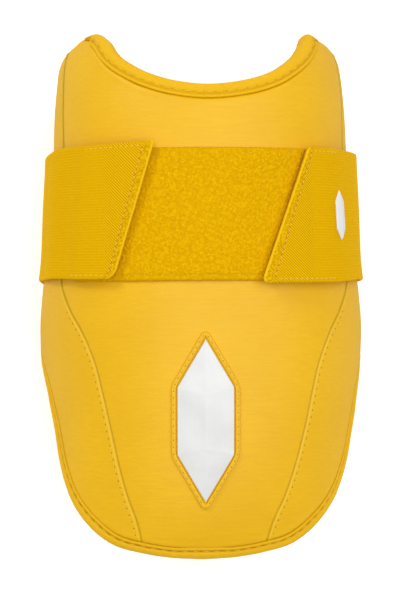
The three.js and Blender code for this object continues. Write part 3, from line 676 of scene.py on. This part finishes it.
def on_spans(points, at):
    """Points on smooth spans through rows of points, one row for each place asked for."""
    count = points.shape[1]
    i = np.minimum(at.astype(int), count - 2)
    w = (at - i)[:, None]
    rows = np.arange(len(at))
    p0, p1, p2, p3 = (points[rows, np.clip(i + k, 0, count - 1)] for k in (-1, 0, 1, 2))
    bend = 2 * p0 - 5 * p1 + 4 * p2 - p3
    return p1 + 0.5 * w * (p2 - p0 + w * (bend + w * (3 * (p1 - p2) + p3 - p0)))


def face_depth(cover, from_inner):
    """How far in from the edge of the shell a place on the tape's face is."""
    return EDGE_BEND + (cover - EDGE_BEND) * (1 - from_inner / TAPE_WIDTH)


def folded_tape(name, start, end, rows, replaced):
    """Tape folded round a stretch of the edge: out over the face, round the edge and under it."""
    bm = bmesh.new()
    bmesh.ops.create_grid(bm, x_segments=78, y_segments=rows, size=0.5)
    flat = np.array([vert.co for vert in bm.verts])
    around, along = flat[:, 0] + 0.5, flat[:, 1] + 0.5
    line, cover = rim_stretch(start, end, rows + 1)
    at = np.linspace(start, end, rows + 1)
    turned, past_seam = turned_over(at), past(at)[1]
    run = run_along(skin(line))
    wander = np.array([noise.noise((0.22 * r, 1.7, 5)) for r in run])

    def section_row(depth, lift):
        return np.stack(np.broadcast_arrays(depth, lift + 0 * cover), -1)

    face = [section_row(face_depth(cover, d) + 0.12 * wander * (d > 1.2), z) for d, z in WELT]
    fold = [section_row(d + 0 * cover, z) for d, z in TAPE_EDGE]
    back = [section_row(cover - 0.3, TAPE_BACK), section_row(cover + 0.1, TAPE_BACK + 0.6)]
    inner = [section_row(d + 0 * cover, z) for d, z in ((2.2, -6.0), (2.0, -1.3))]
    ring = np.stack(face + fold + back + inner + face[:1], 1)
    ring[:, 6:8, 1] *= 1 + 0.6 * past_seam[:, None]
    ring += turned[:, None, None] * (1.3, -1.6)
    row = np.rint(along * rows).astype(int)
    section = on_spans(ring[row], around * (ring.shape[1] - 1))
    place = line[row] + inward_step(line)[row] * section[:, :1]
    ripple = np.array([noise.noise((0.35 * run[r], 3.1 * a, 7)) for r, a in zip(row, around)])
    shape = on_skin(place, section[:, 1] + 0.07 * ripple)
    from_inner = cover[row] - section[:, 0]
    shown = (section[:, 1] > -1.5) * (1 - turned[row]) ** 2
    # Painted shade at the inner edge and in the groove, on the face only.
    groove_shade = (0.55 + 0.45 * past_seam[row]) * hump(from_inner, TAPE_GROOVE, 0.4)
    painted_binding_shade = (0.5 * hump(from_inner, 0, 0.25) + groove_shade) * shown
    mark_cloth(bm, around, along, TAPE_SECTION, run[-1])
    marks = {"painted_binding_shade": np.clip(painted_binding_shade, 0, 1)}
    tape = finish_piece(
        name, bm, (binding_tape,), (replaced,), marks, shape, capped=True
    )


TAPE_GAP = 0.0004
for name, start, end, rows in (
    ("neck", -neck_end, neck_right, 230), ("rim", neck_right, 1 - neck_end, 640),
):
    folded_tape(name + "_tape", start + TAPE_GAP, end - TAPE_GAP, rows, name + "_binding")
    threads, hole_shades = bmesh.new(), bmesh.new()
    if name == "neck":
        start, end, beside, lift = 0.92 * start, 0.92 * end, 0.55, 0.02
    else:
        start, end, beside, lift = seam_top + 0.02, 1 - seam_top - 0.02, 0.15, -0.28
    line, cover = rim_stretch(start, end, 1500)
    line = line + inward_step(line) * face_depth(cover, TAPE_GROOVE + beside)[:, None]
    sewn_on_skin(threads, hole_shades, line, lift, thread_share=0.55, hole=0.24)
    finish_sewing(name + "_tape", threads, hole_shades)

# The loop patch: brushed loop tape sewn flat across the front, with a woven edge above and below
# the pile.
PATCH_LENGTH = 98
PATCH_WIDTH = 50
PATCH_TOP = 2.0
SELVEDGE = 1.5
PATCH_SEWN = 2.2

loop_pile = new_finish("loop_pile", 0.95)
spot = spot_on(loop_pile)
# Painted light and shade: the pile is lighter on its tufts and darker in its hollows, along its sewn
# lines and at its edges.
height = marked(loop_pile, "pile")
fibres = speckle(loop_pile, spot, 1500, 3.0)
tufts = speckle(loop_pile, spot, 780, 2.0)
colour = blended(loop_pile, height, dye(216, 160, 0), dye(246, 192, 6))
colour = blended(loop_pile, scaled(loop_pile, tufts, 0.42, 0.62, 0.5, 0), colour, dye(204, 150, 0))
colour = blended(loop_pile, scaled(loop_pile, fibres, 0.58, 0.75, 0, 0.5), colour, dye(250, 206, 36))
bump = raised(loop_pile, fibres, 0.0003)
shaded(loop_pile, Base_Color=colour, Normal=bump, Specular_IOR_Level=0.03)


def angle_across(x, along):
    """The angle round at which the skin reaches a distance across from the middle."""
    return np.degrees(np.arcsin(np.clip((x - lean(along)) / half_width(along), -1, 1)))


bm, across, along, inside = laid_slab(300, 156)
mark_cloth(bm, across, along, PATCH_LENGTH, PATCH_WIDTH)
fray = np.array([noise.noise((40 * a, 9.7, 3)) for a in across])
length_way = PATCH_LENGTH * (across - 0.5)
width_way = (PATCH_WIDTH + 0.25 * fray) * (along - 0.5)
from_edge = np.minimum(PATCH_WIDTH / 2 - np.abs(width_way), PATCH_LENGTH / 2 - np.abs(length_way))
tuft = np.array([
    0.7 * noise.noise((x * 1.4, y * 1.4, 1)) + 0.9 * noise.noise((x * 3.1, y * 3.1, 5))
    for x, y in zip(length_way, width_way)
])
brushed = np.clip((from_edge - SELVEDGE) / 0.9, 0, 1)
sewn_down = hump(PATCH_WIDTH / 2 - np.abs(width_way), PATCH_SEWN, 0.45)
pile = PATCH_TOP - 0.55 + brushed * (0.3 + 0.32 * tuft) - 0.2 * sewn_down
pile -= 0.5 * hump(from_edge, 0, 0.35)
place_along = PATCH_MIDDLE + width_way
place = np.stack((angle_across(length_way, place_along), place_along), -1)
shape = on_skin(place, np.where(inside < 0.5, pile, 0.1))
# Painted shade where the pile sinks along the sewn lines and at the edges.
pressed = 0.15 * sewn_down + 0.3 * hump(from_edge, 0, 1.1)
marks = {"pile": np.clip(0.55 + 0.6 * tuft * brushed - pressed, 0, 1)}
patch = finish_piece("brushed_patch", bm, (loop_pile,), ("loop_patch",), marks, shape)

threads, hole_shades = bmesh.new(), bmesh.new()
for end in (-1, 1):
    x = np.linspace(-PATCH_LENGTH / 2 + 2, PATCH_LENGTH / 2 - 2, 300)
    y = np.full(300, PATCH_MIDDLE + end * (PATCH_WIDTH / 2 - PATCH_SEWN))
    line = np.stack((angle_across(x, y), y), -1)
    sewn_on_skin(threads, hole_shades, line, PATCH_TOP - 0.72, pitch=3.2, thread_share=0.6, hole=0.2)
finish_sewing("patch", threads, hole_shades)

# The strap: one band of ribbed elastic. It leaves its slanted left tip on the patch, runs round the
# back of the shell over the wings and comes back to the right tip. Hook tape is sewn behind each tip.
STRAP_WIDTH = 51
STRAP_THICKNESS = 1.8
STRAP_CORNER = 3
STRAP_DRIFT = 1.6
ON_LEATHER, ON_TAPE, ON_PATCH, ON_HOOK, STANDOFF = 0.4, 0.85, 2.3, 3.8, 0.55
LEFT_TIP = {"end": -0.268 * PATCH_LENGTH, "slant": 0.286 * STRAP_WIDTH, "hooks": -0.434 * PATCH_LENGTH}
RIGHT_TIP = {"end": 0.276 * PATCH_LENGTH, "slant": 0.345 * STRAP_WIDTH, "hooks": 0.439 * PATCH_LENGTH}

middle_place = np.array(float(PATCH_MIDDLE))
patch_end = float(angle_across(PATCH_LENGTH / 2, middle_place))
left_hooks = float(angle_across(-LEFT_TIP["hooks"], middle_place)) + 2
right_hooks = float(angle_across(RIGHT_TIP["hooks"], middle_place)) + 3


def off_patch(share):
    return patch_end + (96 - patch_end) * share


# Degrees round from the front line to the left, lift of the lower edge off the skin, how much further
# off the upper edge is, drift, breadth.
STRAP_RUN = np.array([
    (0, ON_HOOK, 0, 1.1, 1.03), (left_hooks, ON_HOOK, 0, 0.5, 0.99),
    (off_patch(0.02), ON_PATCH, 0, 0.65, 0.985), (off_patch(0.25), ON_PATCH, 0.4, 0.55, 0.977),
    (off_patch(0.55), ON_LEATHER, 1, 0.22, 0.963), (96, ON_LEATHER, 1, -0.38, 0.937),
    (110, ON_TAPE, 0.5, -1, 0.95), (180, ON_TAPE, 0, -1, 0.97), (240, ON_TAPE, 0.3, -1, 0.97),
    (256, ON_TAPE, 0.8, -0.4, 0.965), (360 - off_patch(0.7), STANDOFF, 1.7, 0, 0.965),
    (360 - off_patch(0.2), ON_PATCH, 0.4, 0.03, 0.975), (360 - right_hooks, ON_HOOK, 0, -0.2, 1),
    (360, ON_HOOK, 0, -0.15, 1.01),
])


def strap_middle(turn, share):
    breadth = STRAP_WIDTH * smooth_rows(STRAP_RUN, 4, turn)
    y = PATCH_MIDDLE + STRAP_DRIFT * smooth_rows(STRAP_RUN, 3, turn) + breadth * (share - 0.5)
    lift = smooth_rows(STRAP_RUN, 1, turn) + share * smooth_rows(STRAP_RUN, 2, turn)
    point = on_skin(np.stack((-turn, y), -1), lift + STRAP_THICKNESS / 2)
    rest = STRAP_THICKNESS / 2
    over = np.clip(point[..., 2] - rest + STRAP_CORNER, 0, None)
    turned = rest + over**2 / (4 * STRAP_CORNER)
    point[..., 2] = np.where(over >= 2 * STRAP_CORNER, point[..., 2], turned)
    return point


def strap_facing(turn, share):
    run = strap_middle(turn + 0.4, share) - strap_middle(turn - 0.4, share)
    return unit(np.stack((run[..., 2], 0 * turn, -run[..., 0]), -1))


def tip_end(tip, share):
    """How far across a tip ends, with both of its corners rounded."""
    end = tip["end"] + tip["slant"] * (share - 0.5)
    for corner, radius in ((0, 4.2 if tip is LEFT_TIP else 3.0), (1, 1.4)):
        near = np.clip(radius - np.abs(share - corner) * STRAP_WIDTH, 0, radius)
        end = end + np.sign(tip["end"]) * (radius - np.sqrt(radius**2 - near**2)) * 0.8
    return end


def turn_across(x, share):
    angle = angle_across(np.abs(x), PATCH_MIDDLE + STRAP_WIDTH * (share - 0.5))
    return np.where(x < 0, angle, 360 - angle)


half = np.array(0.5)
tip_turns = [float(turn_across(np.array(tip["end"]), half)) for tip in (LEFT_TIP, RIGHT_TIP)]
strap_turns = np.linspace(tip_turns[0] - 22, tip_turns[1] + 22, 1700)
strap_lengths = run_along(strap_middle(strap_turns, np.full(1700, 0.5)))
strap_lengths -= np.interp(tip_turns[0], strap_turns, strap_lengths)
strap_length = float(np.interp(tip_turns[1], strap_turns, strap_lengths))
SLANT_FADE = 34


def strap_turn(share, length):
    """The turn at a length along the strap, sheared near each end to follow the tip's slant."""
    turn = np.interp(length, strap_lengths, strap_turns)
    for tip, from_end in ((LEFT_TIP, length), (RIGHT_TIP, strap_length - length)):
        shear = turn_across(tip_end(tip, share), share) - turn_across(np.array(tip["end"]), half)
        turn = turn + shear * np.clip(1 - from_end / SLANT_FADE, 0, 1)
    return turn


TWILL_SLANT = 44
BACKED_REACH = 40.5
elastic = new_finish("elastic", 0.85)
cloth = node(elastic, "UVMap", {}, uv_map="cloth").outputs["UV"]
backed, border, painted_cut_highlight = (marked(elastic, key) for key in ("backed", "border", "painted_cut_highlight"))
spot = spot_on(elastic)
ribs = woven(elastic, cloth, "X", 300.0, 0.25, 1.0, 3.0)
picks = woven(elastic, cloth, "Y", 560.0, 0.6, 1.0)
slanted = node(elastic, "Mapping", {"Vector": cloth, "Rotation": (0, 0, math.radians(TWILL_SLANT))})
twill = woven(elastic, slanted.outputs["Vector"], "X", 390.0, 0.35, 1.5, 2.0)
yarn = speckle(elastic, spot, 1500, 3.0)
plain = node(elastic, "Math", {0: ribs, 1: 0.7}, operation="MULTIPLY").outputs[0]
plain = node(elastic, "Math", {0: picks, 1: 0.3, 2: plain}, operation="MULTIPLY_ADD").outputs[0]
weave = blended(elastic, backed, plain, twill)
frayed_loops = scaled(elastic, speckle(elastic, spot, 1100, 2.0), 0.35, 0.65)
weave = blended(elastic, border, weave, frayed_loops)
low = blended(elastic, backed, dye(219, 166, 0), dye(198, 148, 0))
high = blended(elastic, backed, dye(229, 176, 3), dye(243, 190, 8))
colour = blended(elastic, weave, low, high)
colour = blended(elastic, scaled(elastic, yarn, 0.55, 0.8, 0, 0.25), colour, dye(248, 202, 36))
# Painted highlight along the strap's cut ends.
colour = blended(elastic, painted_cut_highlight, colour, dye(252, 206, 30))
bump = raised(elastic, weave, 0.0001)
bump = raised(elastic, yarn, 0.00012, bump)
shaded(
    elastic, Base_Color=colour, Normal=bump, Specular_IOR_Level=0.03,
    Sheen_Weight=0.25, Sheen_Roughness=0.5, Sheen_Tint=YELLOW_SHEEN,
)

bm, across, along, inside = laid_slab(80, 480)
share = crowded(across, 0.7)
length = crowded(along, 0.8) * strap_length
turn = strap_turn(share, length)
from_side = np.minimum(share, 1 - share) * STRAP_WIDTH
from_tip = np.minimum(length, strap_length - length)
rounding = np.sqrt(np.clip(from_side / 1.1, 0, 1) * (2 - np.clip(from_side / 1.1, 0, 1)))
rounding = 0.25 + 0.75 * rounding
half_thick = STRAP_THICKNESS / 2 * rounding * (0.35 + 0.65 * np.sqrt(np.clip(from_tip / 0.5, 0, 1)))
loops = np.array([noise.noise((1.1 * a, 1.3 * b, 4)) for a, b in zip(from_side, from_tip)])
lip = 0.2 * hump(from_tip, 0.3, 0.3) - 0.2 * hump(from_tip, 3.3, 0.5)
lip += 0.4 * loops * hump(from_tip, 2.1, 1.2)
outward = np.where(inside < 0.5, half_thick + lip, -half_thick)
shape = strap_middle(turn, share) + strap_facing(turn, share) * outward[:, None]
real_length = np.interp(turn, strap_turns, strap_lengths)
mark_cloth(bm, share, real_length / strap_length, STRAP_WIDTH, strap_length)
x_across = shape[:, 0] - shell_place[0]
front_side = shape[:, 2] > WAIST_HEIGHT + 15
frayed = np.array([noise.noise((0.5 * x, 0.9 * y, 2)) for x, y in shape[:, :2]])
fade = np.where(x_across < 0, 7, 2)
zone = np.clip((BACKED_REACH - np.abs(x_across) + 1.2 * frayed) / fade + 0.5, 0, 1) * front_side
marks = {
    "backed": zone,
    "border": 0.85 * np.clip((3.1 - from_tip) / 0.6, 0, 1),
    # Painted highlight along the cut ends.
    "painted_cut_highlight": hump(from_tip, 0.1, 0.35) * (inside < 0.5),
}
strap = finish_piece("elastic_band", bm, (elastic,), ("strap",), marks, shape)

threads, hole_shades = bmesh.new(), bmesh.new()


def sew_strap(share, length, **spacing):
    turn = strap_turn(share, length)
    facing = strap_facing(turn, share)
    line = strap_middle(turn, share) + facing * (STRAP_THICKNESS / 2 - 0.05)
    sewn_line(threads, hole_shades, line, facing, **spacing)


TIP_SEWN = 3.3
EDGES_SEWN = (4, 24)
down = np.linspace(0.045, 0.955, 120)
for length in (TIP_SEWN, strap_length - TIP_SEWN):
    sew_strap(down, np.full(120, length), pitch=2.1, thread_share=0.66, hole=0.22)
for share in (0.03, 0.97):
    for ends in (EDGES_SEWN, [strap_length - end for end in reversed(EDGES_SEWN)]):
        length = np.linspace(*ends, 160)
        sew_strap(np.full(160, share), length, pitch=2.1, thread_share=0.66, hole=0.18)
finish_sewing("strap", threads, hole_shades)

# The hooks: a thin tape with rows of moulded hooks, sewn behind each tip and pressed into the pile.
hook_tape = new_finish("hook_tape", 0.7)
cloth = node(hook_tape, "UVMap", {}, uv_map="cloth").outputs["UV"]
rows = woven(hook_tape, cloth, "Y", 420.0, 0.3)
shaded(
    hook_tape,
    Base_Color=blended(hook_tape, rows, dye(186, 134, 4), dye(222, 168, 10)),
    Normal=raised(hook_tape, rows, 0.0003),
)
HOOK_LENGTH = 22
HOOK_MARGIN = 0.02
HOOK_SET_BACK = 0.9
HOOK_BOTTOM = 1.85
for name, tip in (("hook_left", LEFT_TIP), ("hook_right", RIGHT_TIP)):
    bm, across, along, inside = laid_slab(60, 60)
    mark_cloth(bm, across, along, HOOK_LENGTH, STRAP_WIDTH)
    share = HOOK_MARGIN + (1 - 2 * HOOK_MARGIN) * along
    tip_x = tip_end(tip, share) + np.sign(tip["end"]) * HOOK_SET_BACK
    x = tip_x + (tip["hooks"] - tip_x) * (across if tip is RIGHT_TIP else 1 - across)
    y = strap_middle(turn_across(x, share), share)[:, 1] - shell_place[1]
    stubble = 0.12 * np.array([noise.noise((3 * a, 3 * b, 11)) for a, b in zip(x, y)])
    lift = np.where(inside < 0.5, ON_HOOK, HOOK_BOTTOM + stubble)
    shape = on_skin(np.stack((angle_across(x, y), y), -1), lift)
    finish_piece(name + "_tape", bm, (hook_tape,), (name,), None, shape)

# The badges: a long white hexagon moulded with facets that meet in a ridge, glued into a stitched
# frame on the tongue, and a small flat one on the right flank of the strap.
BADGE_LENGTH = 61
BADGE_WIDTH = 21
BADGE_RISE = 4.3
BADGE_RIM = 1.1
BADGE_MIDDLE = -0.2345 * SHELL_LENGTH
BADGE_SIDE = -1.5
POINT_SLOPE = 1.7
FRAME_OUT = 3.0
FRAME_WIDTH = 2.0
FRAME_RISE = 1.1
FRAME_STEPS = 320

white_rubber = new_finish("white_rubber", 0.38)
spot = spot_on(white_rubber)
mottle = scaled(white_rubber, speckle(white_rubber, spot, 90), 0.35, 0.65)
fine = speckle(white_rubber, spot, 2200, 2.0)
shaded(
    white_rubber,
    Base_Color=blended(white_rubber, mottle, dye(226, 226, 224), dye(234, 234, 232)),
    Normal=raised(white_rubber, fine, 0.00003),
    Roughness=scaled(white_rubber, mottle, 0, 1, 0.34, 0.44),
)


def on_front(points):
    """Bends points over a flat outline on to the tongue: across, along and up from the skin."""
    along = BADGE_MIDDLE + points[:, 1]
    angle = angle_across(points[:, 0] + BADGE_SIDE, along)
    return on_skin(np.stack((angle, along), -1), points[:, 2])


def long_hexagon(width, length, slope):
    shoulder = length / 2 - slope * width / 2
    return [
        (0, length / 2), (-width / 2, shoulder), (-width / 2, -shoulder),
        (0, -length / 2), (width / 2, -shoulder), (width / 2, shoulder),
    ]


def facet_badge(name, width, length, rim, rise, cuts, bend, replaced):
    """A hexagonal block whose top is drawn up to a ridge, with softened edges."""
    bm = bmesh.new()
    base = [bm.verts.new((x, y, 0.1)) for x, y in long_hexagon(width, length, POINT_SLOPE)]
    floor = bm.faces.new(base)
    lifted = bmesh.ops.extrude_face_region(bm, geom=[floor])["geom"]
    top_verts = [item for item in lifted if isinstance(item, bmesh.types.BMVert)]
    bmesh.ops.translate(bm, verts=top_verts, vec=(0, 0, rim - 0.1))
    top = next(item for item in lifted if isinstance(item, bmesh.types.BMFace))
    ends = sorted((v for v in top_verts if abs(v.co.x) < 0.01), key=lambda v: v.co.y)
    ridge = length / 2 - 1.15 * POINT_SLOPE * width / 2
    bmesh.ops.delete(bm, geom=[top], context="FACES_ONLY")
    low, high = (bm.verts.new((0, y, rise)) for y in (-ridge, ridge))
    left = sorted((v for v in top_verts if v.co.x < -0.01), key=lambda v: v.co.y)
    right = sorted((v for v in top_verts if v.co.x > 0.01), key=lambda v: v.co.y)
    for corners in (
        (ends[0], low, left[0]), (ends[0], right[0], low), (ends[1], left[1], high),
        (ends[1], high, right[1]), (left[0], low, high, left[1]), (right[0], right[1], high, low),
    ):
        bm.faces.new(corners)
    bmesh.ops.recalc_face_normals(bm, faces=bm.faces[:])
    sharp = [edge for edge in bm.edges if max(v.co.z for v in edge.verts) > 0.2 * rim]
    bmesh.ops.bevel(bm, geom=sharp, offset=0.22, segments=2, profile=0.5, affect="EDGES", material=-1)
    bmesh.ops.triangulate(bm, faces=[face for face in bm.faces if len(face.verts) > 4])
    long_edges = [edge for edge in bm.edges if edge.calc_length() > 2]
    bmesh.ops.subdivide_edges(bm, edges=long_edges, cuts=cuts, use_grid_fill=True)
    points = bend(np.array([vert.co for vert in bm.verts]))
    finish_piece(name, bm, (white_rubber,), replaced, None, points, smooth=False)


facet_badge("tongue_badge", BADGE_WIDTH, BADGE_LENGTH, BADGE_RIM, BADGE_RISE, 5, on_front, ("badge",))

outline = np.array(long_hexagon(BADGE_WIDTH + FRAME_OUT, BADGE_LENGTH + FRAME_OUT * 1.97, POINT_SLOPE))


def round_outline(corners, radius, count):
    """A closed outline with softened corners, as evenly spaced points."""
    rows = []
    for i, corner in enumerate(corners):
        before, after = corners[i - 1], corners[(i + 1) % len(corners)]
        start = corner + (before - corner) / np.linalg.norm(before - corner) * radius
        end = corner + (after - corner) / np.linalg.norm(after - corner) * radius
        for t in np.linspace(0, 1, 7):
            rows.append((1 - t) ** 2 * start + 2 * t * (1 - t) * corner + t**2 * end)
    rows = np.array(rows + rows[:1])
    run = run_along(rows)
    at = np.linspace(0, run[-1], count, endpoint=False)
    return np.stack([np.interp(at, run, rows[:, k]) for k in (0, 1)], -1)


middle = round_outline(outline, 2.2, FRAME_STEPS)
way = np.roll(middle, -1, axis=0) - np.roll(middle, 1, axis=0)
out = unit(np.stack((-way[:, 1], way[:, 0]), -1))
out = out * np.sign((out * middle).sum(1))[:, None]
bm = bmesh.new()
bmesh.ops.create_grid(bm, x_segments=16, y_segments=FRAME_STEPS, size=0.5)
flat = np.array([vert.co for vert in bm.verts])
turn = (flat[:, 0] + 0.5) * 2 * math.pi
step = np.rint((flat[:, 1] + 0.5) * FRAME_STEPS).astype(int) % FRAME_STEPS
swell = np.cos(turn)
rise = np.clip(np.sin(turn), -0.35, 1) * FRAME_RISE
groove = 0.25 * hump(swell, -0.1, 0.28) * (np.sin(turn) > 0)
spread = middle[step] + out[step] * (swell * FRAME_WIDTH / 2)[:, None]
shape = on_front(np.column_stack((spread, rise - groove)))
# Painted shade at the welt's foot and a painted highlight on its top.
marks = {"edge": np.clip(1 - rise / 0.5, 0, 1) * 0.4, "painted_highlight": np.clip(rise - 0.75, 0, 1)}
finish_piece("badge_welt", bm, (leather,), ("badge_frame",), marks, shape)

threads, hole_shades = bmesh.new(), bmesh.new()
closed = np.vstack((middle, middle[:1]))
line = on_front(np.column_stack((closed, np.full(len(closed), FRAME_RISE - 0.2))))
facing = unit(on_front(np.column_stack((closed, np.full(len(closed), 2.0)))) - line)
sewn_line(threads, hole_shades, line, facing, pitch=2.6, thread_share=0.66, hole=0.3)
finish_sewing("badge_welt", threads, hole_shades)

TAG_LENGTH = 19
TAG_WIDTH = 5
TAG_RIM = 0.7
TAG_RISE = 1.15
TAG_TURN = np.array(307.0)
degree = np.linalg.norm(strap_middle(TAG_TURN + 0.5, half) - strap_middle(TAG_TURN - 0.5, half))


def on_strap(points):
    share = 0.5 + points[:, 1] / STRAP_WIDTH
    turn = TAG_TURN - points[:, 0] / degree
    lift = (STRAP_THICKNESS / 2 + points[:, 2])[:, None]
    return strap_middle(turn, share) + strap_facing(turn, share) * lift


facet_badge("flank_badge", TAG_WIDTH, TAG_LENGTH, TAG_RIM, TAG_RISE, 3, on_strap, ("strap_badge",))

# The studio: a white floor under an even white surround, one large soft lamp above the guard and a
# small one beyond its upper left, for the shadows under the strap's tips. The floor isn't mirrored in
# the gloss of the leather, which would turn the flanks pale.
floor_finish = new_finish("floor", 0.9)
spot = spot_on(floor_finish)
even = scaled(floor_finish, speckle(floor_finish, spot, 3), 0.3, 0.7)
shaded(
    floor_finish,
    Base_Color=blended(floor_finish, even, (0.93, 0.93, 0.93, 1), (0.95, 0.95, 0.95, 1)),
    Emission_Color=(1, 1, 1, 1),
    Emission_Strength=0.4,
    Specular_IOR_Level=0.0,
)
bm = bmesh.new()
bmesh.ops.create_grid(bm, x_segments=1, y_segments=1, size=3)
mesh = bpy.data.meshes.new("floor")
bm.to_mesh(mesh)
bm.free()
mesh.materials.append(floor_finish)
floor = added("floor", mesh)
floor.visible_glossy = False


def lamp(name, at, size, power):
    light = bpy.data.lights.new(name, "AREA")
    light.shape = "RECTANGLE"
    light.size, light.size_y = size
    light.energy = power
    made = added(name, light)
    made.location = at
    made.rotation_euler = (Vector((0, 0, 0.03)) - Vector(at)).to_track_quat("-Z", "Y").to_euler()


lamp("top_lamp", (0.3, 0.1, 1.5), (1.5, 2.4), 20.6)
lamp("key_lamp", (-0.85, 0.85, 0.95), (0.4, 0.4), 5.2)

world = bpy.data.worlds.new("studio")
world.use_nodes = True
world.node_tree.nodes["Background"].inputs["Color"].default_value = (1, 1, 1, 1)
world.node_tree.nodes["Background"].inputs["Strength"].default_value = 0.36
bpy.context.scene.world = world
bpy.context.scene.view_settings.view_transform = "Standard"

# The camera looks straight down on the front of the guard, turned a little to its left.
CAMERA_YAW = math.radians(4)
CAMERA_PITCH = math.radians(0.6)
CAMERA_ROLL = math.radians(-0.36)
camera_data = bpy.data.cameras.new("camera")
camera_data.lens = 155
camera_data.sensor_width = 36
camera = added("camera", camera_data)
back = Vector((
    -math.sin(CAMERA_YAW) * math.cos(CAMERA_PITCH),
    -math.sin(CAMERA_PITCH),
    math.cos(CAMERA_YAW) * math.cos(CAMERA_PITCH),
))
right = Vector((math.cos(CAMERA_YAW), 0, math.sin(CAMERA_YAW)))
right = (right - back * right.dot(back)).normalized()
up = back.cross(right)
turned_right = right * math.cos(CAMERA_ROLL) + up * math.sin(CAMERA_ROLL)
turned_up = back.cross(turned_right)
aim = Vector((-0.00127, -0.0016, 0.045))
rotation = Matrix((turned_right, turned_up, back)).transposed()
camera.matrix_world = Matrix.Translation(aim + back) @ rotation.to_4x4()
bpy.context.scene.camera = camera
